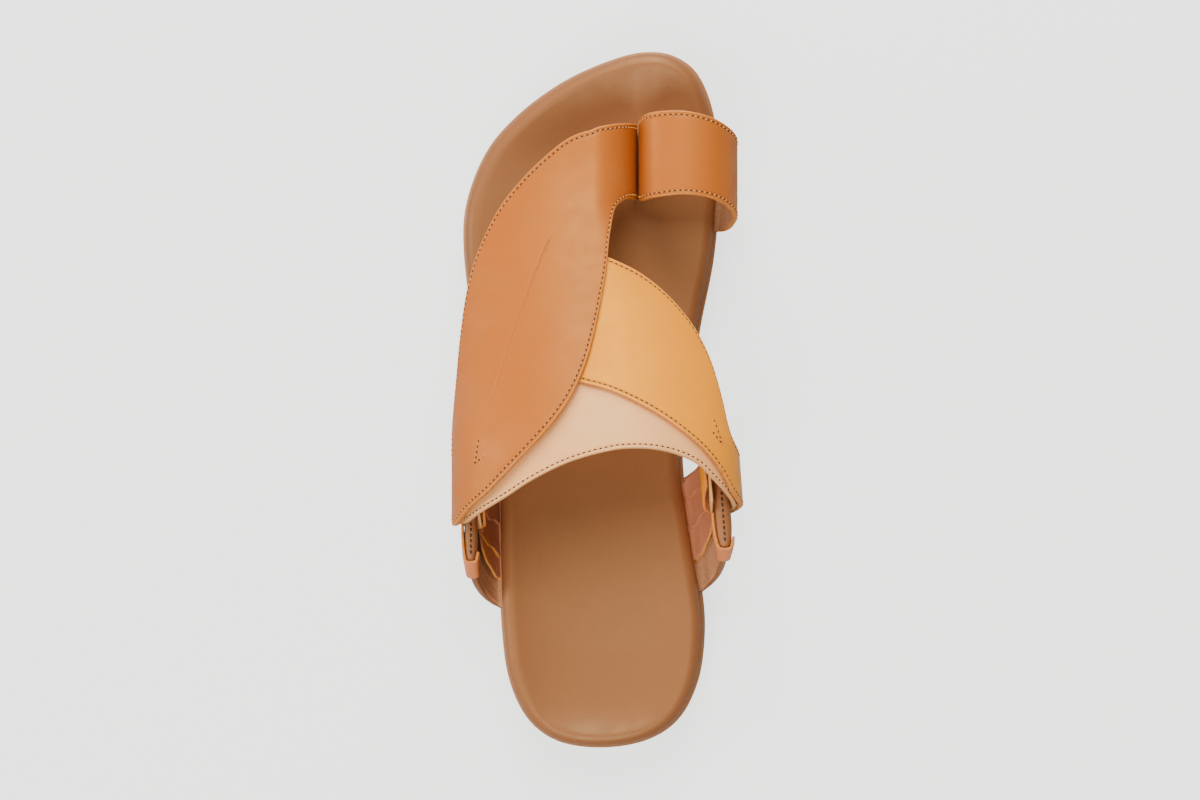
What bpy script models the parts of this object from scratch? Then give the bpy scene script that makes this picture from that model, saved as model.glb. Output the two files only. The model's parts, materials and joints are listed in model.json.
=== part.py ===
"""A left arabic sandal with a toe ring, a padded footbed on a wrapped midsole, and crossing leather straps.

The straps run between two leather wings, one on each side of the sole. Metres, +Y to the toe, +X to the
inner (big toe) side, +Z up. The origin is the floor under the middle of the heel seat.
"""

import math

import bmesh
import bpy
import numpy as np

# Driving sizes of the last and the sole
SHOE_LENGTH = 0.280
BALL_WIDTH = 0.103
WAIST_WIDTH = 0.075
HEEL_WIDTH = 0.082
HEEL_BACK = 0.0402  # from the origin back to the end of the heel
HEEL_HEIGHT = 0.026  # top of the footbed above the floor
BALL_HEIGHT = 0.020
TOE_SPRING = 0.006
ARCH_RELIEF = 0.002
OUTSOLE_THICKNESS = 0.004
OUTSOLE_INSET = 0.0018
MIDSOLE_ROUND = 0.0014
FOOTBED_THICKNESS = 0.007
FOOTBED_LEDGE = 0.0018  # step from the midsole's edge in to the footbed
SHOULDER_WIDTH = 0.0062
SHOULDER_DROP = 0.0048
RIM_RISE = 0.0016
HEEL_CUP = 0.0022
TOE_HOLLOW = 0.0022

# Straps
STRAP_THICKNESS = 0.0022
BAND_THICKNESS = 0.0018
RING_THICKNESS = 0.0020
LAYER_GAP = 0.0004
FIT_GAP = 0.0003
INSTEP_HEIGHT = 0.083  # underside of the band at its crest
ANCHOR_LATERAL = 0.322  # rear edge of the straps at the bar, as a share of the length
ANCHOR_MEDIAL = 0.352
ANCHOR_WIDTH = 0.029
ANCHOR_MEDIAL_WIDTH = 0.021
WRAP_DROP = 0.0014  # from the bar's underside to the inside of the lowest strap's turn
WRAP_GAP = 0.00075  # between the bar's inner face and the lowest strap's tail
TAIL_LENGTH = 0.008
MAIN_TAIL_LEAN = 0.0008  # how far a tail's end leans away from the bar
CROSS_TAIL_LEAN = 0.0040
TOE_SLOT_X = 0.0142
TOE_SLOT_DEPTH = 0.005
TOE_POST_REAR = 0.788  # share of the length
TOE_POST_WIDTH = 0.026
RING_SPAN = 0.0375
RING_RISE = 0.0262
LASTING_MARGIN = 0.0055  # leather held between midsole and footbed
POCKET_ROOM = 0.0007  # how much thicker a pocket is than the leather in it

# Side wings and what is folded over them
BAR_HEIGHT = 0.054
BAR_LATERAL_X = 0.0498
BAR_MEDIAL_X = 0.0484
BAR_TOE_IN = 0.07  # slope of the inner bar towards the centre line
BAR_THICKNESS = 0.0040
BAR_DEPTH = 0.0055
WING_THICKNESS = 0.0026
UPRIGHT_WIDTH = 0.0135  # from the slot to the end of the bar
SLOT_ROOM = 0.0022  # beside the straps in the slot
SLOT_HEIGHT = 0.0082
LATERAL_SLACK = 0.0018  # room between bar and straps
MEDIAL_SLACK = 0.0010
STRIP_THICKNESS = 0.0014
STRIP_STEP = 0.0010
STRIP_GAP = 0.0006  # between the wing and the strips laid on it
STRIP_COUNT = 4
SLEEVE_THICKNESS = 0.0014

# Colours, as seen
BROWN = (176, 120, 80)
DARK_BROWN = (128, 84, 56)
TAN = (209, 139, 89)
OCHRE = (227, 169, 102)
BEIGE = (222, 192, 166)
RUST = (190, 112, 72)

# Outline of the sole. along: share of the length from the heel end. out: share of half the named width.
OUTLINE = (
    # along, out, width
    (0.0000, -0.02, HEEL_WIDTH),
    (0.0110, 0.43, HEEL_WIDTH),
    (0.0420, 0.745, HEEL_WIDTH),
    (0.0970, 0.934, HEEL_WIDTH),
    (0.1610, 0.995, HEEL_WIDTH),
    (0.2220, 0.973, HEEL_WIDTH),
    (0.3220, 0.939, WAIST_WIDTH),
    (0.4150, 0.851, WAIST_WIDTH),
    (0.5040, 0.920, WAIST_WIDTH),
    (0.6080, 0.761, BALL_WIDTH),
    (0.7080, 0.866, BALL_WIDTH),
    (0.8150, 0.907, BALL_WIDTH),
    (0.9040, 0.870, BALL_WIDTH),
    (0.9650, 0.750, BALL_WIDTH),
    (0.9935, 0.563, BALL_WIDTH),
    (1.0000, 0.330, BALL_WIDTH),
    (0.9885, 0.054, BALL_WIDTH),
    (0.9590, -0.311, BALL_WIDTH),
    (0.9135, -0.660, BALL_WIDTH),
    (0.8590, -0.922, BALL_WIDTH),
    (0.7860, -1.080, BALL_WIDTH),
    (0.7150, -1.103, BALL_WIDTH),
    (0.6110, -1.033, BALL_WIDTH),
    (0.4935, -1.259, WAIST_WIDTH),
    (0.3790, -1.147, WAIST_WIDTH),
    (0.2685, -1.125, WAIST_WIDTH),
    (0.1720, -1.002, HEEL_WIDTH),
    (0.0990, -0.932, HEEL_WIDTH),
    (0.0420, -0.751, HEEL_WIDTH),
    (0.0093, -0.451, HEEL_WIDTH),
)

# Side view of the sole. spring, relief and lift: shares of the toe spring, of the arch relief and of how much
# the heel is higher than the ball.
PROFILE = (
    # along, spring, relief, lift
    (0.00, 0.20, 0.00, 1.00),
    (0.05, 0.00, 0.00, 1.00),
    (0.22, 0.00, 0.00, 1.00),
    (0.30, 0.00, 0.75, 0.93),
    (0.37, 0.00, 1.00, 0.75),
    (0.45, 0.00, 0.60, 0.48),
    (0.52, 0.00, 0.00, 0.25),
    (0.60, 0.00, 0.00, 0.08),
    (0.70, 0.00, 0.00, 0.00),
    (0.80, 0.00, 0.00, 0.00),
    (0.88, 0.22, 0.00, 0.00),
    (0.95, 0.62, 0.00, 0.00),
    (1.00, 1.00, 0.00, 0.00),
)

# Line down the middle of the sole: share of half of the ball width
SPINE = (
    # along, out
    (0.144, 0.00),
    (0.400, -0.11),
    (0.720, -0.11),
    (0.847, 0.00),
)

# The last under the straps, section by section. crest_x: share of half the ball width. crest_z: of the
# instep height. The reaches are shares of where the straps pass the bars, the hems of the bar height. fold: how
# far the inner side has turned down to the slot between the toes.
LAST = (
    # along, crest_x, crest_z, lateral_reach, lateral_hem, medial_reach, medial_hem, fold
    (0.286, 0.135, 1.000, 1.00, 1.00, 1.00, 1.00, 0.00),
    (0.358, 0.115, 1.000, 1.00, 1.00, 1.00, 1.00, 0.00),
    (0.429, 0.080, 0.975, 1.00, 1.00, 1.00, 1.00, 0.00),
    (0.501, 0.040, 0.910, 1.01, 0.86, 0.97, 0.92, 0.00),
    (0.590, -0.020, 0.805, 1.02, 0.68, 0.87, 0.76, 0.00),
    (0.679, -0.050, 0.695, 1.02, 0.56, 0.70, 0.62, 0.12),
    (0.733, -0.060, 0.625, 1.00, 0.50, 0.62, 0.52, 0.60),
    (0.779, -0.060, 0.570, 0.98, 0.47, 0.58, 0.48, 1.00),
    (0.840, -0.060, 0.528, 0.93, 0.46, 0.55, 0.48, 1.00),
    (0.910, -0.060, 0.510, 0.82, 0.46, 0.52, 0.48, 1.00),
)

# Strap edges on the last. turn: degrees from the crest, outer side negative. along: share of the length.
MAIN_STRAP = (
    # rear_turn, rear_along, front_turn, front_along
    (-75.0, 0.327, -84.0, 0.452),
    (-60.0, 0.339, -77.0, 0.490),
    (-47.0, 0.373, -71.0, 0.535),
    (-35.0, 0.409, -66.5, 0.584),
    (-22.5, 0.452, -62.0, 0.633),
    (-14.5, 0.486, -56.0, 0.683),
    (-8.0, 0.523, -48.5, 0.731),
    (-3.0, 0.562, -40.0, 0.775),
    (1.0, 0.606, -31.0, 0.808),
    (5.5, 0.655, -21.0, 0.838),
    (11.0, 0.705, -10.0, 0.861),
    (19.0, 0.742, 3.0, 0.877),
    (32.0, 0.769, 20.0, 0.886),
    (50.0, 0.782, 44.0, 0.890),
    (70.0, 0.785, 68.0, 0.891),
    (90.0, 0.785, 90.0, 0.891),
)
CROSS_STRAP = (
    (-21.0, 0.538, -12.0, 0.716),
    (-8.0, 0.524, 3.0, 0.706),
    (4.0, 0.512, 17.0, 0.693),
    (16.0, 0.495, 30.0, 0.676),
    (28.0, 0.474, 42.0, 0.650),
    (40.0, 0.449, 52.0, 0.612),
    (51.0, 0.424, 61.0, 0.563),
    (61.0, 0.400, 66.5, 0.508),
    (73.0, 0.374, 74.0, 0.450),
)
INSTEP_BAND = (
    (-74.0, 0.328, -74.0, 0.445),
    (-59.0, 0.343, -58.0, 0.475),
    (-44.0, 0.364, -43.0, 0.505),
    (-30.0, 0.390, -28.0, 0.535),
    (-15.0, 0.414, -14.0, 0.560),
    (0.0, 0.429, 0.0, 0.575),
    (12.0, 0.433, 12.0, 0.575),
    (24.0, 0.431, 24.0, 0.560),
    (36.0, 0.423, 36.0, 0.535),
    (48.0, 0.409, 48.0, 0.505),
    (60.0, 0.386, 60.0, 0.475),
    (76.0, 0.364, 75.0, 0.445),
)

# Toe ring, from the slot over the big toe. across: share of the ring's span. rise: share of its height over
# the footbed.
TOE_RING = (
    # across, rise, rear_along, front_along
    (0.00, 0.18, 0.785, 0.888),
    (0.02, 0.58, 0.782, 0.895),
    (0.15, 0.88, 0.785, 0.903),
    (0.45, 1.00, 0.789, 0.906),
    (0.72, 0.93, 0.785, 0.900),
    (0.91, 0.70, 0.774, 0.887),
    (1.00, 0.40, 0.759, 0.873),
    (0.95, 0.08, 0.747, 0.861),
)
RING_FOOT = (0.742, 0.856)  # rear and front edge where it enters the sole, shares of the length
# Its last rows, from outside the sole's edge in under the footbed: shares of the lasting margin
RING_HEM = (
    # out, rise
    (0.40, 0.58),
    (0.11, 0.11),
    (-0.40, 0.00),
    (-1.00, 0.00),
)

# Where each wing leaves the sole, in shares of the length, and its uprights, in shares of UPRIGHT_WIDTH
WINGS = {
    # side: base_rear, base_front, rear_upright, front_upright
    -1: (0.200, 0.385, 1.00, 0.70),
    1: (0.224, 0.388, 1.20, 0.66),
}
SIDE_NAMES = {-1: "lateral", 1: "medial"}
LASTED_ROWS = (-1.0, -0.45, 0.0, 0.12, 0.25)  # of a wing's height, negative under the footbed
WING_ROWS = (0.38, 0.52, 0.64)
FOLD_TURNS = (35, 70, 110, 145)  # degrees at which a fold has a row of points
# Sleeve on the rear upright of a wing. up: share of the wing. reach: share of the upright covered outside.
SLEEVE = (
    # up, reach
    (0.74, 0.25),
    (0.80, 0.50),
    (0.86, 0.66),
    (0.92, 0.62),
    (0.97, 0.45),
)
# Strips on the inside of a wing, in shares of its width and height
STRIP_SPAN = (0.17, 0.88)
STRIP_ROWS = (0.17, 0.30, 0.43, 0.56)
STRIP_TOP_GAP = 0.035  # from the strips' upper end to the slot
STRIP_SLANT = 0.35
STRIP_WAVE = 0.012
STRIP_SECTION = (0.0, 0.15, 0.55, 0.94)  # places across one strip, of the step from one to the next

# Hollows that the toes leave. x and half_width: shares of half the ball width. The others: of the length.
HOLLOWS = (
    # x, along, half_width, half_length
    (0.47, 0.915, 0.30, 0.052),
    (-0.38, 0.868, 0.45, 0.055),
)
HEEL_CUP_SPAN = (0.14, 0.42)  # the heel cup is full behind the first place along and ends at the second

STATIONS = 22  # cross-sections between heel and toe centre
TOE_RAYS = 20  # steps round the toe
HEEL_RAYS = 18

parts = bpy.data.collections.new("arabic_sandal")
cutters = bpy.data.collections.new("cutters")


def y_at(along):
    return along * SHOE_LENGTH - HEEL_BACK


def along_at(y):
    return (y + HEEL_BACK) / SHOE_LENGTH


def ramp(x, table, column):
    """Smooth value of a table's column at x, level wherever two neighbouring rows agree."""
    xs = [row[0] for row in table]
    ys = [row[column] for row in table]
    if x <= xs[0]:
        return ys[0]
    if x >= xs[-1]:
        return ys[-1]
    steps = [(ys[i + 1] - ys[i]) / (xs[i + 1] - xs[i]) for i in range(len(xs) - 1)]
    slopes = [steps[0]]
    for before, after in zip(steps, steps[1:]):
        slopes.append(0.0 if before * after <= 0 else 2 * before * after / (before + after))
    slopes.append(steps[-1])
    i = max(k for k in range(len(xs) - 1) if xs[k] <= x)
    width = xs[i + 1] - xs[i]
    t = (x - xs[i]) / width
    return (
        (1 + 2 * t) * (1 - t) ** 2 * ys[i]
        + t * (1 - t) ** 2 * width * slopes[i]
        + t * t * (3 - 2 * t) * ys[i + 1]
        + t * t * (t - 1) * width * slopes[i + 1]
    )


def spline(rows, steps, closed=False):
    """Points on a smooth curve through the rows, with the given number of steps between two of them."""
    rows = np.array(rows, float)
    count = len(rows)
    found = []
    for i in range(count if closed else count - 1):
        if closed:
            a, b, c, d = (rows[(i + k) % count] for k in (-1, 0, 1, 2))
        else:
            a, b, c, d = (rows[min(max(i + k, 0), count - 1)] for k in (-1, 0, 1, 2))
        for step in range(steps):
            t = step / steps
            square, cube = 2 * a - 5 * b + 4 * c - d, 3 * b - a - 3 * c + d
            found.append(0.5 * (2 * b + (c - a) * t + square * t**2 + cube * t**3))
    if not closed:
        found.append(rows[-1])
    return np.array(found)


EDGE = spline([(out * width / 2, y_at(along)) for along, out, width in OUTLINE], 10, closed=True)


def inset_edge(distance):
    ahead = np.roll(EDGE, -1, axis=0) - np.roll(EDGE, 1, axis=0)
    ahead /= np.linalg.norm(ahead, axis=1)[:, None]
    return EDGE + distance * np.stack([-ahead[:, 1], ahead[:, 0]], axis=1)


def crossing(centre, direction, loop):
    """Where the ray from the centre leaves the loop."""
    centre = np.array(centre)
    side = np.array((-direction[1], direction[0]))
    offset = (loop - centre) @ side
    reach = (loop - centre) @ np.array(direction)
    best = None
    for i in range(len(loop)):
        j = (i + 1) % len(loop)
        if (offset[i] <= 0) == (offset[j] <= 0):
            continue
        t = offset[i] / (offset[i] - offset[j])
        far = reach[i] + t * (reach[j] - reach[i])
        if far > 0 and (best is None or far > best):
            best = far
    return centre + best * np.array(direction)


def rays():
    """Spine point and direction of each ray, from the inner side of the heel forward and round the shoe."""
    first, last = y_at(SPINE[0][0]), y_at(SPINE[-1][0])
    stations = np.linspace(first, last, STATIONS)
    spine = [(ramp(along_at(y), SPINE, 1) * BALL_WIDTH / 2, y) for y in stations]
    found = [(point, (1.0, 0.0)) for point in spine]
    for k in range(1, TOE_RAYS):
        angle = math.pi * k / TOE_RAYS
        found.append((spine[-1], (math.cos(angle), math.sin(angle))))
    found += [(point, (-1.0, 0.0)) for point in reversed(spine)]
    for k in range(1, HEEL_RAYS):
        angle = math.pi * (1 + k / HEEL_RAYS)
        found.append((spine[0], (math.cos(angle), math.sin(angle))))
    return found


RAYS = rays()


def ground(y):
    a = along_at(y)
    return ramp(a, PROFILE, 1) * TOE_SPRING + ramp(a, PROFILE, 2) * ARCH_RELIEF


def bed_line(y):
    a = along_at(y)
    lift = ramp(a, PROFILE, 3) * (HEEL_HEIGHT - BALL_HEIGHT)
    return ramp(a, PROFILE, 1) * TOE_SPRING + BALL_HEIGHT + lift


def midsole_top(y):
    return bed_line(y) - FOOTBED_THICKNESS - FIT_GAP


def hollow(x, y, centre_x, along, half_width, half_length):
    """Depth of a toe hollow at a place, as a share of its full depth."""
    across = (x / (BALL_WIDTH / 2) - centre_x) / half_width
    return math.exp(-(across**2) - ((along_at(y) - along) / half_length) ** 2)


def bed_height(x, y, share):
    """Top of the footbed. share runs from 0 on the spine to 1 at the rim."""
    full, end = HEEL_CUP_SPAN
    heel = min(1.0, max(0.0, (end - along_at(y)) / (end - full)))
    dip = TOE_HOLLOW * sum(hollow(x, y, *row) for row in HOLLOWS) * (1 - share**4)
    cup = HEEL_CUP * heel * (1 - share**2)
    return bed_line(y) + RIM_RISE * share**4 - dip - cup


def ring_of_points(distance, share, height):
    """One ring of a sole layer: the outline inset by distance, drawn in towards the spine."""
    loop = inset_edge(distance)
    found = []
    for centre, direction in RAYS:
        edge = crossing(centre, direction, loop)
        x, y = np.array(centre) + (edge - np.array(centre)) * share
        found.append((x, y, height(x, y)))
    return found


def material_for(name, colour, roughness):
    made = bpy.data.materials.new(name)
    made.use_nodes = True
    shader = made.node_tree.nodes["Principled BSDF"]
    linear = [((c / 255 + 0.055) / 1.055) ** 2.4 for c in colour]
    shader.inputs["Base Color"].default_value = (*linear, 1.0)
    shader.inputs["Roughness"].default_value = roughness
    shader.inputs["Metallic"].default_value = 0.0
    made.diffuse_color = (*linear, 1.0)
    return made


def add_object(name, bm, colour=None, roughness=0.5, collection=None):
    mesh = bpy.data.meshes.new(name)
    bmesh.ops.recalc_face_normals(bm, faces=bm.faces)
    bm.to_mesh(mesh)
    bm.free()
    made = bpy.data.objects.new(name, mesh)
    (collection or parts).objects.link(made)
    if colour:
        mesh.materials.append(material_for(name, colour, roughness))
        mesh.shade_smooth()
        mesh.set_sharp_from_angle(angle=math.radians(40))
    else:
        made.hide_render = True
        made.display_type = "WIRE"
    return made


def sole_layer(name, rings, colour, roughness):
    """A closed layer whose rings run from the spine over the top, down the side and back under to the spine."""
    bm = bmesh.new()
    rows = [[bm.verts.new(point) for point in ring] for ring in rings]
    for upper, lower in zip(rows, rows[1:]):
        for i in range(len(upper)):
            j = (i + 1) % len(upper)
            bm.faces.new((upper[i], upper[j], lower[j], lower[i]))
    bmesh.ops.remove_doubles(bm, verts=bm.verts, dist=1e-6)
    return add_object(name, bm, colour, roughness)


def sheet_grid(bm, grid, hole=None):
    rows = [[bm.verts.new(point) for point in row] for row in grid]
    for i in range(len(rows) - 1):
        for j in range(len(rows[i]) - 1):
            if not (hole and hole(i, j)):
                bm.faces.new((rows[i][j], rows[i + 1][j], rows[i + 1][j + 1], rows[i][j + 1]))
    loose = [vertex for vertex in bm.verts if not vertex.link_faces]
    bmesh.ops.delete(bm, geom=loose, context="VERTS")
    return rows


def leather(name, grid, thickness, colour=None, roughness=0.5, hole=None, thick_rows=None, thin=1.0):
    """Leather on a grid of points through its middle. Only thick_rows have the full thickness, if given."""
    bm = bmesh.new()
    layer = bm.verts.layers.deform.verify() if thick_rows else None
    rows = sheet_grid(bm, grid, hole)
    if thick_rows:
        for i, row in enumerate(rows):
            for vertex in row:
                if vertex.is_valid:
                    vertex[layer][0] = 1.0 if i in thick_rows else 0.0
    made = add_object(name, bm, colour, roughness, None if colour else cutters)
    wall = made.modifiers.new("wall", "SOLIDIFY")
    wall.thickness = thickness
    wall.offset = 0.0
    wall.use_even_offset = not thick_rows
    if thick_rows:
        made.vertex_groups.new(name="thick")
        wall.vertex_group = "thick"
        wall.thickness_vertex_group = thin
    return made


def cut(target, cutter):
    made = target.modifiers.new(cutter.name, "BOOLEAN")
    made.operation = "DIFFERENCE"
    made.solver = "EXACT"
    made.object = cutter


def outsole():
    def under(x, y):
        return ground(y)

    def over(x, y):
        return ground(y) + OUTSOLE_THICKNESS

    rings = [ring_of_points(OUTSOLE_INSET, share, over) for share in (0.0, 0.5, 1.0)]
    rings += [ring_of_points(OUTSOLE_INSET, share, under) for share in (1.0, 0.5, 0.0)]
    return sole_layer("outsole", rings, DARK_BROWN, 0.8)


def midsole():
    def between(share):
        def height(x, y):
            low = ground(y) + OUTSOLE_THICKNESS + FIT_GAP
            return low + (midsole_top(y) - low) * share

        return height

    rings = [ring_of_points(MIDSOLE_ROUND, share, between(1.0)) for share in (0.0, 0.5)]
    side = (
        # inset over the rounding, height share
        (1.0, 1.0),
        (0.3, 0.93),
        (0.0, 0.75),
        (0.0, 0.30),
        (0.4, 0.08),
        (1.0, 0.0),
    )
    rings += [ring_of_points(MIDSOLE_ROUND * inset, 1.0, between(share)) for inset, share in side]
    rings += [ring_of_points(MIDSOLE_ROUND, share, between(0.0)) for share in (0.5, 0.0)]
    return sole_layer("midsole", rings, BROWN, 0.55)


def footbed():
    rim = FOOTBED_LEDGE + SHOULDER_WIDTH
    rings = []
    for share in (0.0, 0.22, 0.42, 0.60, 0.76, 0.90, 1.0):
        rings.append(ring_of_points(rim, share, lambda x, y, s=share: bed_height(x, y, s)))
    for angle in (30, 55, 75, 90):
        turn = math.radians(angle)
        drop = SHOULDER_DROP * (1 - math.cos(turn))
        inset = rim - SHOULDER_WIDTH * math.sin(turn)
        rings.append(ring_of_points(inset, 1.0, lambda x, y, d=drop: bed_height(x, y, 1.0) - d))
    for share in (1.0, 0.5, 0.0):
        rings.append(ring_of_points(FOOTBED_LEDGE, share, lambda x, y: midsole_top(y) + FIT_GAP))
    return sole_layer("footbed", rings, BROWN, 0.45)


BAND_LIFT = BAND_THICKNESS / 2
CROSS_LIFT = BAND_THICKNESS + LAYER_GAP + BAND_THICKNESS / 2
MAIN_LIFT = 2 * (BAND_THICKNESS + LAYER_GAP) + STRAP_THICKNESS / 2
MAIN_LIFT_AT_BAR = BAND_THICKNESS + LAYER_GAP + STRAP_THICKNESS / 2


def anchor(side):
    """Rear edge and width of the straps where they pass the bar."""
    if side < 0:
        return y_at(ANCHOR_LATERAL), ANCHOR_WIDTH
    return y_at(ANCHOR_MEDIAL), ANCHOR_MEDIAL_WIDTH


def bar_span(side):
    """Rear and front end of a bar: the straps, room beside them and an upright at each end."""
    rear, width = anchor(side)
    _, _, rear_upright, front_upright = WINGS[side]
    return (
        rear - SLOT_ROOM - rear_upright * UPRIGHT_WIDTH,
        rear + width + SLOT_ROOM + front_upright * UPRIGHT_WIDTH,
    )


def bar_x(side, y):
    """Distance of a bar's middle from the centre line. The inner bar runs closer to it towards the toe."""
    if side < 0:
        return BAR_LATERAL_X
    rear, front = bar_span(side)
    return BAR_MEDIAL_X - BAR_TOE_IN * (min(max(y, rear), front) - y_at(ANCHOR_MEDIAL))


def strap_reach(side, y):
    slack = LATERAL_SLACK if side < 0 else MEDIAL_SLACK
    return bar_x(side, y) + BAR_THICKNESS / 2 + slack


def last_point(turn, along, lift):
    """A point over the last, lift above the underside of the lowest strap."""
    crest = ramp(along, LAST, 1) * BALL_WIDTH / 2
    top = ramp(along, LAST, 2) * INSTEP_HEIGHT + lift
    if turn < 0:
        reach = -(ramp(along, LAST, 3) * strap_reach(-1, y_at(along)) + lift)
        hem = ramp(along, LAST, 4) * BAR_HEIGHT
    else:
        fold = ramp(along, LAST, 7)
        post = TOE_SLOT_X - LAYER_GAP / 2 - STRAP_THICKNESS / 2 - MAIN_LIFT
        open_reach = ramp(along, LAST, 5) * strap_reach(1, y_at(along))
        reach = (1 - fold) * open_reach + fold * post + lift
        hem = ramp(along, LAST, 6) * BAR_HEIGHT
    angle = math.radians(abs(turn))
    return (
        crest + (reach - crest) * math.sin(angle),
        y_at(along),
        hem + (top - hem) * math.cos(angle),
    )


def wrap_rows(side, lift, lean):
    """Rows of a strap's end: down outside the bar, round under it and up inside."""
    start = BAR_HEIGHT - BAR_DEPTH / 2
    rear, width = anchor(side)

    def profile(y):
        outer = strap_reach(side, y) + lift
        inner = bar_x(side, y) - BAR_THICKNESS / 2 - WRAP_GAP - lift
        centre, radius = (outer + inner) / 2, (outer - inner) / 2
        line = [(side * outer, y, start)]
        for angle in (*FOLD_TURNS, 180):
            turn = math.radians(angle)
            x = centre + radius * math.cos(turn)
            line.append((side * x, y, start - (WRAP_DROP + lift) * math.sin(turn)))
        line.append((side * (inner - 0.4 * lean), y, start + 0.5 * TAIL_LENGTH))
        line.append((side * (inner - lean), y, start + TAIL_LENGTH))
        return line

    return list(zip(profile(rear), profile(rear + width)))


def across(rows, count):
    """Grid of points from rows of (rear, front) pairs."""
    return [
        [tuple(np.array(rear) + (np.array(front) - np.array(rear)) * k / count) for k in range(count + 1)]
        for rear, front in rows
    ]


def arch_grid(table, steps, count, lift):
    """Grid over the last between a strap's rear and front edge. lift is a function of the turn."""
    grid = []
    for rear_turn, rear_along, front_turn, front_along in spline(table, steps):
        row = []
        for k in range(count + 1):
            t = k / count
            turn = rear_turn + (front_turn - rear_turn) * t
            row.append(last_point(turn, rear_along + (front_along - rear_along) * t, lift(turn)))
        grid.append(row)
    return grid


def anchor_row(side):
    """Row of a strap's table at the bar, where the strap hangs straight down."""
    rear, width = anchor(side)
    return side * 90.0, along_at(rear), side * 90.0, along_at(rear + width)


def main_lift(turn):
    """The main strap lies on the band at the bar and also on the cross strap near the crest."""
    t = min(1.0, max(0.0, (turn + 90) / 50))
    return MAIN_LIFT_AT_BAR + (MAIN_LIFT - MAIN_LIFT_AT_BAR) * t * t * (3 - 2 * t)


def main_strap():
    count = 12
    body = arch_grid([anchor_row(-1), *MAIN_STRAP], 2, count, main_lift)
    wrap = across(wrap_rows(-1, MAIN_LIFT_AT_BAR, MAIN_TAIL_LEAN), count)
    x = TOE_SLOT_X - LAYER_GAP / 2 - STRAP_THICKNESS / 2
    post = post_rows(x, body[-1][0][1], body[-1][-1][1], body[-1][0][2])
    grid = wrap[::-1] + body + across(post, count)
    return leather("main_strap", grid, STRAP_THICKNESS, TAN, 0.42)


def post_rows(x, rear, front, top):
    """Rows of a strap's end between the toes, from a fold at height top down into the slot."""
    start = y_at(TOE_POST_REAR)
    end = start + TOE_POST_WIDTH
    foot = bed_line(start) - TOE_SLOT_DEPTH + FIT_GAP
    mouth = bed_line(start)
    rows = []
    for share in (0.5, 1.0):
        z = top + (mouth - top) * share
        rows.append(((x, rear + (start - rear) * share, z), (x, front + (end - front) * share, z)))
    rows.append(((x, start, foot), (x, end, foot)))
    return rows


def cross_strap():
    body = arch_grid([*CROSS_STRAP, anchor_row(1)], 2, 8, lambda turn: CROSS_LIFT)
    wrap = across(wrap_rows(1, CROSS_LIFT, CROSS_TAIL_LEAN), 8)
    return leather("cross_strap", body + wrap, BAND_THICKNESS, OCHRE, 0.42)


def instep_band():
    count = 6
    body = arch_grid([anchor_row(-1), *INSTEP_BAND, anchor_row(1)], 2, count, lambda turn: BAND_LIFT)
    start, end = (across(wrap_rows(side, BAND_LIFT, 0.0), count) for side in SIDE_NAMES)
    return leather("instep_band", start[::-1] + body + end, BAND_THICKNESS, BEIGE, 0.45)


def edge_x(y, side):
    return crossing((0.0, y), (float(side), 0.0), EDGE)[0]


def ring_rows():
    x0 = TOE_SLOT_X + LAYER_GAP / 2 + RING_THICKNESS / 2
    rows = []
    for share, rise, rear, front in spline(TOE_RING, 2):
        middle = y_at((rear + front) / 2)
        x, z = x0 + share * RING_SPAN, bed_line(middle) + rise * RING_RISE
        rows.append(((x, y_at(rear), z), (x, y_at(front), z)))
    top = rows[0]
    post = post_rows(x0, top[0][1], top[1][1], top[0][2])
    foot = []
    for out, rise in RING_HEM:
        ends = []
        for along in RING_FOOT:
            y = y_at(along)
            z = midsole_top(y) - RING_THICKNESS / 2 + rise * LASTING_MARGIN
            ends.append((edge_x(y, 1) + out * LASTING_MARGIN, y, z))
        foot.append(tuple(ends))
    return post[::-1] + rows, foot


def follow_edge(pairs, count):
    """Grid of a ring's foot, which follows the sole's level and outline between its two edges."""
    grid = across(pairs, count)
    for row in grid:
        for k, (x, y, z) in enumerate(row):
            ends = (row[0][1], row[-1][1])
            straight_x = np.interp(y, ends, [edge_x(end, 1) for end in ends])
            straight_z = np.interp(y, ends, [midsole_top(end) for end in ends])
            row[k] = (x + edge_x(y, 1) - straight_x, y, z + midsole_top(y) - straight_z)
    return grid


def toe_ring():
    rows, foot = ring_rows()
    grid = across(rows, 8) + follow_edge(foot, 8)
    return leather("toe_ring", grid, RING_THICKNESS, TAN, 0.42)


def ring_pocket():
    foot = ring_rows()[1]
    inner = [tuple((x - FIT_GAP, y, z) for x, y, z in foot[-1])]
    rows = [((rx, ry - FIT_GAP, rz), (fx, fy + FIT_GAP, fz)) for (rx, ry, rz), (fx, fy, fz) in foot + inner]
    return leather("ring_pocket", follow_edge(rows, 8), RING_THICKNESS + POCKET_ROOM)


def toe_slot():
    """Cutter for the slot that both leathers between the toes go into."""
    half_left = LAYER_GAP / 2 + STRAP_THICKNESS + FIT_GAP
    half_right = LAYER_GAP / 2 + RING_THICKNESS + FIT_GAP
    start = y_at(TOE_POST_REAR) - FIT_GAP
    bm = bmesh.new()
    bmesh.ops.create_cube(bm, size=1.0)
    low = bed_line(start) - TOE_SLOT_DEPTH
    for vertex in bm.verts:
        vertex.co.x = TOE_SLOT_X + (half_right if vertex.co.x > 0 else -half_left)
        vertex.co.y = start + (TOE_POST_WIDTH + 2 * FIT_GAP if vertex.co.y > 0 else 0.0)
        vertex.co.z = low + (TOE_SLOT_DEPTH + RING_RISE if vertex.co.z > 0 else 0.0)
    return add_object("toe_slot", bm, collection=cutters)


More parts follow.
